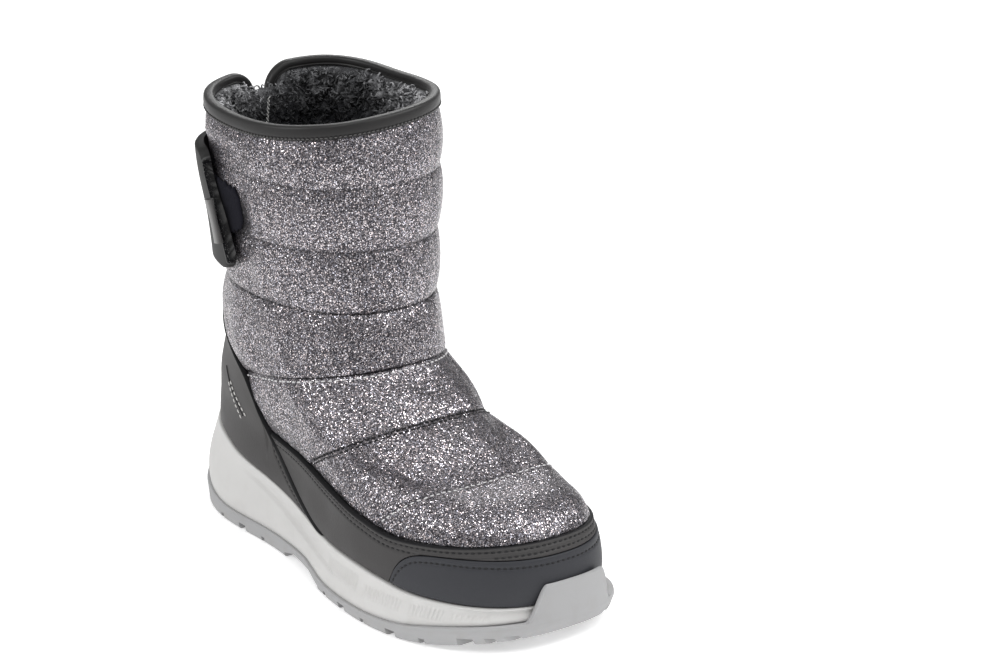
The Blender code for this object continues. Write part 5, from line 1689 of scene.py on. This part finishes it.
@dataclass
class Sole:
    """The foam midsole with its fluted side and the rubber outsole with its toe bumper and lugs."""

    # How far the cutting bodies reach below the floor and beside the sole
    BELOW = -2.0
    BESIDE = 60.0

    shop: Workshop
    rings: dict[str, Section] = field(default_factory=lambda: {
        "ground": Section(-96.5, 96.0, 42.8, 40.2, 0.68),
        "tread edge": Section(-100.0, 99.6, 44.1, 42.0, 0.68),
        "tread top": Section(-101.0, 101.0, 44.7, 42.6, 0.68),
        "foam bed": Section(-98.0, 96.2, 42.2, 39.6, 0.68),
        "foam foot": Section(-99.6, 97.2, 43.4, 40.8, 0.68),
        "foam side": Section(-99.8, 98.0, 43.6, 41.2, 0.67),
        "foam waist": Section(-97.0, 97.2, 42.4, 40.0, 0.66),
        "foam top": Section(-93.6, 97.8, 42.0, 39.6, 0.66)})
    foam_shares: Row = (0.0, 0.30, 0.68, 1.0)
    foam_rows: int = 30
    foot_gap: float = 0.05
    edge_round: float = 1.2
    # Share of that rounding at the foam's upper edge
    crown_share: float = 0.55
    # Edge between the heel's bulge and the upper band: rows of x and height
    facet_line: Line = ((-60.0, 25.0), (-50.0, 22.9), (-34.0, 19.0), (-17.6, 15.5), (6.0, 12.9), (24.0, 10.6))
    facet_ends: Ends = (-60.0, -40.0, 14.0, 26.0)
    # The bulge's step: heights over the facet line between which it rises and fades
    facet_band: Ends = (-0.3, 0.9, 2.0, 9.0)
    facet_depth: float = 0.9
    slit_line: Line = ((-36.0, 20.6), (-24.5, 18.3), (-12.5, 16.5), (-1.4, 15.2), (12.0, 14.0))
    slit_ends: Ends = (-36.0, -28.0, 4.0, 12.0)
    slit_depth: float = 0.2
    slit_wide: float = 0.35
    # Runs of flutes: first and last x, lowest and highest z, depth
    flutes: tuple[tuple[float, float, float, float, float], ...] = (
        (15.0, 40.0, 11.0, 17.0, 0.55), (41.0, 62.0, 10.5, 15.0, 0.45), (64.0, 78.0, 10.5, 14.5, 0.45),
        (78.0, 91.0, 12.0, 13.6, 0.32))
    flute_pitch: float = 1.5
    # Angles in radians of the rings round the tread's lower edge
    edge_turns: Span = (0.33 * 1.57, 0.66 * 1.57)
    bumper_top: float = 24.6
    bumper_hollow: float = 0.35
    # Shares of the bumper's height below and above the shoulder of its top
    bumper_shares: Span = (0.92, 0.08)
    bumper_thick: float = 2.3
    # Where the bumper's slope starts and ends, outward from the toe's middle
    bumper_span: dict[Side, Span] = field(default_factory=lambda: {
        Side.LATERAL: (9.3, 17.8), Side.MEDIAL: (15.5, 21.0)})
    bumper_columns: float = 3.5
    # Cuts across the tread: x, and whether it runs the whole way
    cuts: tuple[tuple[float, bool], ...] = ((-68, False), (-53, True), (-39, False), (16, False), (29.5, True),
                                            (43, False), (58, True), (71, False), (85, True), (91, False),
                                            (95.2, False))
    # Angle in degrees from which the cut tread's edges stay sharp
    lug_sharp: float = 38.0
    # Width and depth of a groove; a nick has its length as well
    groove: Span = (4.4, 2.9)
    nick: Sizes = (2.2, 2.2, 6.0)
    arch: Ends = (-23.0, -13.0, 2.0, 10.0)
    arch_height: float = 5.0
    rail: Sizes = (13.0, 3.2, 2.2)
    rail_runs: tuple[Span, ...] = ((-84.0, -28.0), (18.0, 74.0))

    def loop(self, ring: str, line: Line, columns: Array, lift: float = 0.0) -> Array:
        """One ring of the sole at the height of a line."""
        return raised(FORM.plan_loop(self.rings[ring], columns, line), lift)

    def build(self) -> None:
        """Build the midsole and the outsole."""
        self._midsole()
        self._outsole()

    def _midsole(self) -> Thing:
        """Cup of foam with a flared heel."""
        coarse, fine = np.arange(0, AROUND, 0.15), np.arange(12.0, 23.0, 0.03)
        columns = np.unique(np.round(np.concatenate([coarse, fine, AROUND - fine]), 4))
        foot = self.loop("foam foot", TREAD_TOP_LINE, columns, self.foot_gap)
        top = self.loop("foam top", SOLE_LINE, columns)
        side = self.loop("foam side", TREAD_TOP_LINE, columns)
        knots = [foot, side, self.loop("foam waist", SOLE_LINE, columns), top]
        rings = [self.loop("foam bed", TREAD_TOP_LINE, columns, self.foot_gap), inset_loop(foot, 0.04)]
        soft = self.edge_round * self.crown_share
        for share in np.linspace(0.0, 1.0, self.foam_rows) ** 0.9:
            ring = sum(self._weight(share, k) * knot for k, knot in enumerate(knots))
            ring[:, 2] = foot[:, 2] + 0.02 + share * (top[:, 2] - soft - foot[:, 2])
            rings.append(inset_loop(ring, -self._relief(ring)))
        crown = rings[-1]
        for turn in np.array((0.35, 0.7, 1.0)) * math.pi / 2:
            rings.append(raised(inset_loop(crown, soft * (1 - math.cos(turn))), soft * math.sin(turn)))
        loft = Loft(columns)
        whole = np.ones(len(columns))
        rings += [at_height(loft.points(whole, GAP), SOLE_LINE), loft.points(0.5 * whole, GAP),
                  at_height(loft.points(0 * whole, GAP), SEAT_LINE)]
        cup = Mesh.make("midsole_foam", np.concatenate(rings), Mesh.capped(len(rings), len(columns)),
                        (self.shop.finishes.foam,), sharp=45.0)
        return self.shop.keep(cup, Slot.FOAM, "midsole")

    def _weight(self, share: float, knot: int) -> float:
        """Weight of one knot ring on the smooth profile through all of them."""
        weight = 1.0
        for k, other in enumerate(self.foam_shares):
            if k != knot:
                weight *= (share - other) / (self.foam_shares[knot] - other)
        return weight

    def _relief(self, ring: Array) -> Array:
        """How far the side stands out: the heel's bulge, a slit and the flutes."""
        x, z = ring[:, 0], ring[:, 2]
        over = z - line_height(self.facet_line, x)
        lift = -self.facet_depth * window(*self.facet_ends, x) * window(*self.facet_band, over)
        slit = bell(z - line_height(self.slit_line, x), self.slit_wide)
        lift -= self.slit_depth * window(*self.slit_ends, x) * slit
        for start, end, low, high, depth in self.flutes:
            along = window(start, start + 2, end - 2, end, x)
            upright = window(low - 0.6, low + 0.6, high - 1.0, high + 0.6, z)
            lift -= depth * along * upright * (0.5 + 0.5 * np.sin(2 * math.pi * x / self.flute_pitch))
        return lift

    def _outsole(self) -> Thing:
        """Rubber tread with a bumper at the toe, cut for its lugs and its arch."""
        coarse, fine = np.arange(0, AROUND, 0.15), np.arange(HALF - 4.0, HALF + 4.0, 0.05)
        columns = np.unique(np.round(np.concatenate([coarse, fine]), 4))
        ground = self.loop("ground", GROUND_LINE, columns)
        low = self.loop("tread edge", GROUND_LINE, columns, self.edge_round)
        edge = self.loop("tread top", TREAD_TOP_LINE, columns, -self.edge_round)
        top = inset_loop(self.loop("tread top", TREAD_TOP_LINE, columns), GAP)
        rise = self._bumper(columns, top)
        rings = [ground]
        for turn in self.edge_turns:
            out = math.sin(turn)
            rings.append(ground + (low - ground) * np.array([out, out, 1 - math.cos(turn)]))
        rings += [low, low + 0.5 * (edge - low), edge, edge + 0.6 * (top - edge)]
        side, over = self.bumper_shares
        for share in (0.0, 0.25, 0.5, 0.75, side):
            hollow = self.bumper_hollow * math.sin(math.pi * share) * (rise > 0)
            rings.append(raised(inset_loop(top, hollow), share * rise))
        for turn in (0.25 * math.pi, 0.5 * math.pi, 0.75 * math.pi):
            ring = inset_loop(top, self.bumper_thick * (1 - math.cos(turn)) / 2)
            rings.append(raised(ring, rise * (side + over * math.sin(turn))))
        back = at_height(inset_loop(top, self.bumper_thick), TREAD_TOP_LINE)
        rings += [raised(back, share * rise) for share in (side, 0.5, 0.0)]
        rings.append(self.loop("foam bed", TREAD_TOP_LINE, columns))
        tread = Mesh.make("outsole_rubber", np.concatenate(rings), Mesh.capped(len(rings), len(columns)),
                          (self.shop.finishes.rubber,), sharp=45.0)
        cutters = [self._arch_cutter(), self._groove_cutter(), self._rail_cutter()]
        for cutter in cutters:
            step = tread.modifiers.new(cutter.name, "BOOLEAN")
            step.operation, step.solver, step.object = "DIFFERENCE", "EXACT", cutter
        Mesh.settle(tread)
        for cutter in cutters:
            bpy.data.objects.remove(cutter, do_unlink=True)
        tread.data.shade_smooth()
        tread.data.set_sharp_from_angle(angle=math.radians(self.lug_sharp))
        return self.shop.keep(tread, Slot.RUBBER, "outsole")

    def _bumper(self, columns: Array, loop: Array) -> Array:
        """Rise of the toe bumper above the tread's edge at each column."""
        foot = line_height(TREAD_TOP_LINE, loop[:, 0])
        out = loop[:, 1] - FORM.inflare
        slope = np.where(out > 0, 1 - smooth_step(*self.bumper_span[Side.MEDIAL], out),
                         1 - smooth_step(*self.bumper_span[Side.LATERAL], -out))
        return np.where(np.abs(columns - HALF) < self.bumper_columns, (self.bumper_top - foot) * slope, 0.0)

    @staticmethod
    def _blocks(name: str, blocks: Sequence[tuple[Place, Place]]) -> Thing:
        """Cutting body of several boxes, each between two corners."""
        points, faces = [], []
        for low, high in blocks:
            start = len(points)
            points += [(x, y, z) for z in (low[2], high[2]) for y in (low[1], high[1])
                       for x in (low[0], high[0])]
            sides = ((0, 2, 3, 1), (4, 5, 7, 6), (0, 1, 5, 4), (2, 6, 7, 3), (0, 4, 6, 2), (1, 3, 7, 5))
            faces += [tuple(start + k for k in side) for side in sides]
        return Mesh.make(name, np.array(points), faces, ())

    def _arch_cutter(self) -> Thing:
        """Prism that lifts the arch clear of the floor."""
        first, rise, fall, last = self.arch
        profile = [(first, self.BELOW), (last, self.BELOW), (last - 0.5, 2.0), (fall, self.arch_height),
                   (rise, self.arch_height), (first + 0.5, 2.0)]
        count = len(profile)
        points = [(x, y, z) for y in (-self.BESIDE, self.BESIDE) for x, z in profile]
        faces = [tuple(range(count)), tuple(range(2 * count - 1, count - 1, -1))]
        faces += [(k, (k + 1) % count, count + (k + 1) % count, count + k) for k in range(count)]
        return Mesh.make("arch_cutter", np.array(points), faces, ())

    def _groove_cutter(self) -> Thing:
        """Wide grooves across the tread, and nicks in its edge between them."""
        edge = self.loop("ground", GROUND_LINE, np.arange(0, AROUND, 0.1))
        blocks = []
        for x, wide in self.cuts:
            floor = float(line_height(GROUND_LINE, np.array(float(x))))
            if wide:
                half, deep = self.groove[0] / 2, self.groove[1]
                blocks.append(((x - half, -self.BESIDE, self.BELOW), (x + half, self.BESIDE, floor + deep)))
                continue
            half, deep, long = self.nick[0] / 2, self.nick[1], self.nick[2]
            near = edge[np.abs(edge[:, 0] - x) < half + 1.0]
            for side in Side:
                reach = np.max(near[:, 1] * side.value)
                ends = sorted((side.value * (reach - long), side.value * self.BESIDE))
                blocks.append(((x - half, ends[0], self.BELOW), (x + half, ends[1], floor + deep)))
        return self._blocks("groove_cutter", blocks)

    def _rail_cutter(self) -> Thing:
        """Grooves along the tread, which part its lugs."""
        offset, wide, deep = self.rail
        blocks = [((first, side.value * offset - wide / 2, self.BELOW),
                   (last, side.value * offset + wide / 2, deep))
                  for first, last in self.rail_runs for side in Side]
        return self._blocks("rail_cutter", blocks)


@dataclass
class ClosureStrap:
    """The tab that closes the notch: strap with a rounded free end, loop patch and folded pull."""

    shop: Workshop
    ends: Span = (-9.0, 9.7)
    # Column from which the free end's columns stand closer
    fine_from: float = 8.2
    slant: float = 1.8
    corner: float = 7.0
    lift: float = 1.95
    thick: float = 3.4
    patch_ends: Span = (6.0, 11.8)
    patch_lift: float = 0.45
    patch_thick: float = 0.8
    patch_shape: tuple[Sizes, ...] = (
        (6.0, 112.0, 141.0), (9.0, 117.0, 140.0), (9.8, 121.0, 139.4), (10.1, 120.4, 140.3),
        (10.4, 122.3, 138.6), (10.7, 121.6, 139.9), (11.0, 123.6, 138.5), (11.3, 123.0, 139.6),
        (11.6, 125.4, 137.4), (11.8, 127.0, 136.0))
    strip: Span = (0.0, 1.3)
    strip_edge: float = 0.2
    pull_column: float = 9.75
    pull_height: float = 126.2
    pull_size: Sizes = (2.6, 5.4, 16.5)
    pull_tilt: float = 0.2
    pull_lift: float = 0.1
    pull_square: float = 0.7
    pull_skin: float = 0.75

    def build(self) -> None:
        """Build the strap, the patch and the pull."""
        finishes = self.shop.finishes
        columns = np.concatenate([np.arange(self.ends[0], self.fine_from, 0.12),
                                  np.linspace(self.fine_from, self.ends[1], 30)])
        past = np.clip(1 - (self.ends[1] - columns) * NOTCH.pitch() / self.corner, 0.0, 1.0)
        trim = self.corner * (1 - np.sqrt(1 - past ** 2))
        strap = self._tab("strap_tab", columns, STRAP_SPAN[0] + trim, STRAP_SPAN[1] - trim, self.lift,
                          self.thick, finishes.strap, 0.3 * self.thick, self.slant)
        self.shop.keep(strap, Slot.STRAP, "strap")
        columns = np.arange(self.patch_ends[0], self.patch_ends[1] + 0.01, 0.1)
        key, low, high = np.array(self.patch_shape).T
        patch = self._tab("loop_patch", columns, np.interp(columns, key, low), np.interp(columns, key, high),
                          self.patch_lift, self.patch_thick, finishes.patch, 1.5)
        self.shop.keep(patch, Slot.PILE, "strap_patch")
        self._pull()

    def _tab(self, name: str, columns: Array, low_z: Array, high_z: Array, lift: float, thick: float,
             material: Material, roll: float, slant: float = 0.0) -> Thing:
        """Closed tab with rolled edges, and a strip of hooks along its free end.

        Args:
            name: Piece name.
            columns: Columns from the sewn end to the free one.
            low_z: Height of the lower edge at each column.
            high_z: Height of the upper edge at each column.
            lift: Height of the underside above the form.
            thick: Thickness.
            material: Material of the tab.
            roll: Width over which an edge rounds off.
            slant: Columns by which the free end leans back from its lower corner to its upper.

        Returns:
            The tab.
        """
        shares = (1 - np.cos(np.linspace(0, math.pi, 30))) / 2
        tall = high_z - low_z
        run = np.abs(np.stack([columns - columns[0], columns[-1] - columns])).min(0) * NOTCH.pitch()
        from_end = np.repeat((columns[-1] - columns)[None, :], len(shares), axis=0) * NOTCH.pitch()
        inside = np.minimum(np.minimum(shares, 1 - shares)[:, None] * tall[None, :], run[None, :])
        near = np.clip(inside / roll, 0.0, 1.0)
        relief = thick * np.sqrt(1 - (1 - near) ** 2)
        lean = slant * np.clip(columns / columns[-1], 0.0, 1.0)
        outer, back = [], []
        for share, swell in zip(shares, relief):
            loft = Loft(columns + lean * (0.5 - share))
            level = self._levels(loft, low_z + share * tall)
            outer.append(loft.points(level, lift + swell))
            back.append(loft.points(level, np.full(len(columns), lift)))
        rows, count = relief.shape
        faces = Mesh.grid_faces(rows, count, closed_columns=False)
        faces += [tuple(rows * count + k for k in f[::-1]) for f in faces]
        points = np.concatenate([*outer, *back])
        first, last = self.strip
        lines = np.maximum(bell(from_end - first, self.strip_edge), bell(from_end - last, self.strip_edge))
        strip = window(first, first + self.strip_edge, last - self.strip_edge, last, from_end)
        blank = np.zeros_like(inside)
        values = {"edge": np.concatenate([lines, blank]), "strip": np.concatenate([strip, blank])}
        return Mesh.make(name, points, faces, (material,), values, sharp=60.0)

    @staticmethod
    def _levels(loft: Loft, heights: Array) -> Array:
        """Level at which each column reaches its own height."""
        trial = np.linspace(7.0, FORM.rim, 241)
        z = loft.points(np.repeat(trial[:, None], len(loft.columns), axis=1))[..., 2]
        return np.array([np.interp(h, z[:, c], trial) for c, h in enumerate(heights)])

    def _pull(self) -> None:
        """Tape folded into a loop that stands on the strap's free end."""
        loft = Loft(np.array([self.pull_column]))
        level = self._levels(loft, np.array([self.pull_height]))
        outward = loft.normals(level)[0]
        base = loft.points(level, self.lift + self.thick + self.pull_lift)[0]
        upward = np.array([0.0, 0.0, 1.0]) - outward[2] * outward
        upward /= np.linalg.norm(upward)
        upward = upward - self.pull_tilt * np.cross(upward, outward)
        upward /= np.linalg.norm(upward)
        aside = np.cross(upward, outward)
        deep, wide, tall = self.pull_size
        turn = np.linspace(0, 2 * math.pi, 48, endpoint=False)
        squash = [signed_power(wave(turn), self.pull_square)[:, None] for wave in (np.cos, np.sin)]
        rings = []
        shares = np.concatenate([[0.0, 0.015, 0.04], np.linspace(0.08, 0.92, 12), [0.96, 0.985, 1.0]])
        for skin, order in ((0.0, shares), (self.pull_skin, shares[::-1])):
            for share in order:
                pinch = 1 - 0.25 * math.sin(math.pi * share)
                half_wide = (wide / 2 - skin) * (0.86 + 0.14 * abs(2 * share - 1))
                half_deep = max((deep / 2 - skin) * pinch, 0.25)
                rings.append(base + (share - 0.5) * tall * upward + (deep / 2) * outward
                             + half_wide * squash[0] * aside + half_deep * squash[1] * outward)
        faces = Mesh.grid_faces(len(rings), len(turn), closed_rows=True)
        pull = Mesh.make("pull_loop", np.concatenate(rings), faces, (self.shop.finishes.pull,), sharp=60.0)
        self.shop.keep(pull, Slot.PULL, "strap_pull")


@dataclass(frozen=True)
class SoftLight:
    """A large soft lamp: where it stands, how wide it is and its power."""

    name: str
    place: Place
    size: float
    power: float


@dataclass
class Studio:
    """Pale floor, soft light and the camera at the photograph's angle."""

    azimuth: float = 53.0
    elevation: float = 19.5
    distance: float = 1.100
    focal: float = 109.09
    sensor: float = 36.0
    target: Place = (0.02444, 0.03243, 0.08772)
    floor_colour: Colour = (0.93, 0.93, 0.93)
    world_colour: Colour = (1.0, 1.0, 1.0)
    floor_glow: float = 0.38
    # The floor's half width and height in millimetres
    floor_half: float = 4000.0
    floor_height: float = -0.05
    lamp_target: Place = (0.0, 0.0, 0.08)
    world_power: float = 0.27
    lamps: tuple[SoftLight, ...] = (
        SoftLight("key", (0.55, -0.60, 1.20), 0.5, 4.0),
        SoftLight("side", (-0.35, -1.10, 0.85), 0.6, 7.2),
        SoftLight("fill", (1.25, 0.30, 0.75), 0.7, 2.0),
        SoftLight("front", (0.55, 0.70, 0.95), 0.7, 8.5),
        SoftLight("top", (0.05, 0.04, 1.35), 0.4, 3.5),
        SoftLight("rim", (-0.72, 0.56, 0.62), 0.3, 1.8))

    def build(self) -> None:
        """Set the floor, the light and the camera."""
        self._floor()
        self._light()
        self._camera()

    def _floor(self) -> None:
        """Wide floor with a faint cloud in its paint."""
        corners = ((-1, -1), (1, -1), (1, 1), (-1, 1))
        points = np.array([(x * self.floor_half, y * self.floor_half, self.floor_height) for x, y in corners])
        material = bpy.data.materials.new("studio_floor")
        material.use_nodes = True
        kit = NodeKit(material.node_tree)
        shader = material.node_tree.nodes["Principled BSDF"]
        shader.inputs["Roughness"].default_value = 0.9
        shader.inputs["Emission Color"].default_value = (1.0, 1.0, 1.0, 1.0)
        shader.inputs["Emission Strength"].default_value = self.floor_glow
        shade = tuple(0.985 * c for c in self.floor_colour)
        kit.put(shader, "Base Color", kit.mix(kit.noise(3.0), shade, self.floor_colour))
        floor = Mesh.make("studio_floor", points, [(0, 1, 2, 3)], (material,))

    def _light(self) -> None:
        """Even white surroundings and a few soft lamps."""
        world = bpy.data.worlds.new("studio")
        world.use_nodes = True
        back = world.node_tree.nodes["Background"]
        back.inputs["Color"].default_value = (*self.world_colour, 1.0)
        back.inputs["Strength"].default_value = self.world_power
        scene = bpy.context.scene
        scene.world = world
        scene.view_settings.view_transform = "Standard"
        for lamp in self.lamps:
            light = bpy.data.lights.new(lamp.name, "AREA")
            light.energy, light.size = lamp.power, lamp.size
            thing = Mesh.link(lamp.name, light)
            thing.location = lamp.place
            aim = Vector(self.lamp_target) - thing.location
            thing.rotation_euler = aim.to_track_quat("-Z", "Y").to_euler()

    def _camera(self) -> None:
        """Camera at the fitted place."""
        turn, tilt = math.radians(self.azimuth), math.radians(self.elevation)
        away = Vector((math.sin(turn) * math.cos(tilt), -math.cos(turn) * math.cos(tilt), math.sin(tilt)))
        camera = bpy.data.cameras.new("camera")
        camera.lens, camera.sensor_width = self.focal, self.sensor
        thing = Mesh.link("camera", camera)
        thing.location = Vector(self.target) + self.distance * away
        thing.rotation_euler = (-away).to_track_quat("-Z", "Y").to_euler()
        bpy.context.scene.camera = thing


def main() -> None:
    """Build the boot in order, then remove the curls that the pile took as patterns."""
    logging.basicConfig(level=logging.INFO, format="%(name)s: %(message)s")
    shop = Workshop(Finishes(), StitchTool(), PileTool())
    Studio().build()
    Sole(shop).build()
    QuiltedUpper(shop).build()
    LeatherPanels(shop).build()
    CollarBinding(shop).build()
    PileLining(shop).build()
    ClosureStrap(shop).build()
    shop.pile.clear()


if __name__ == "__main__":
    main()
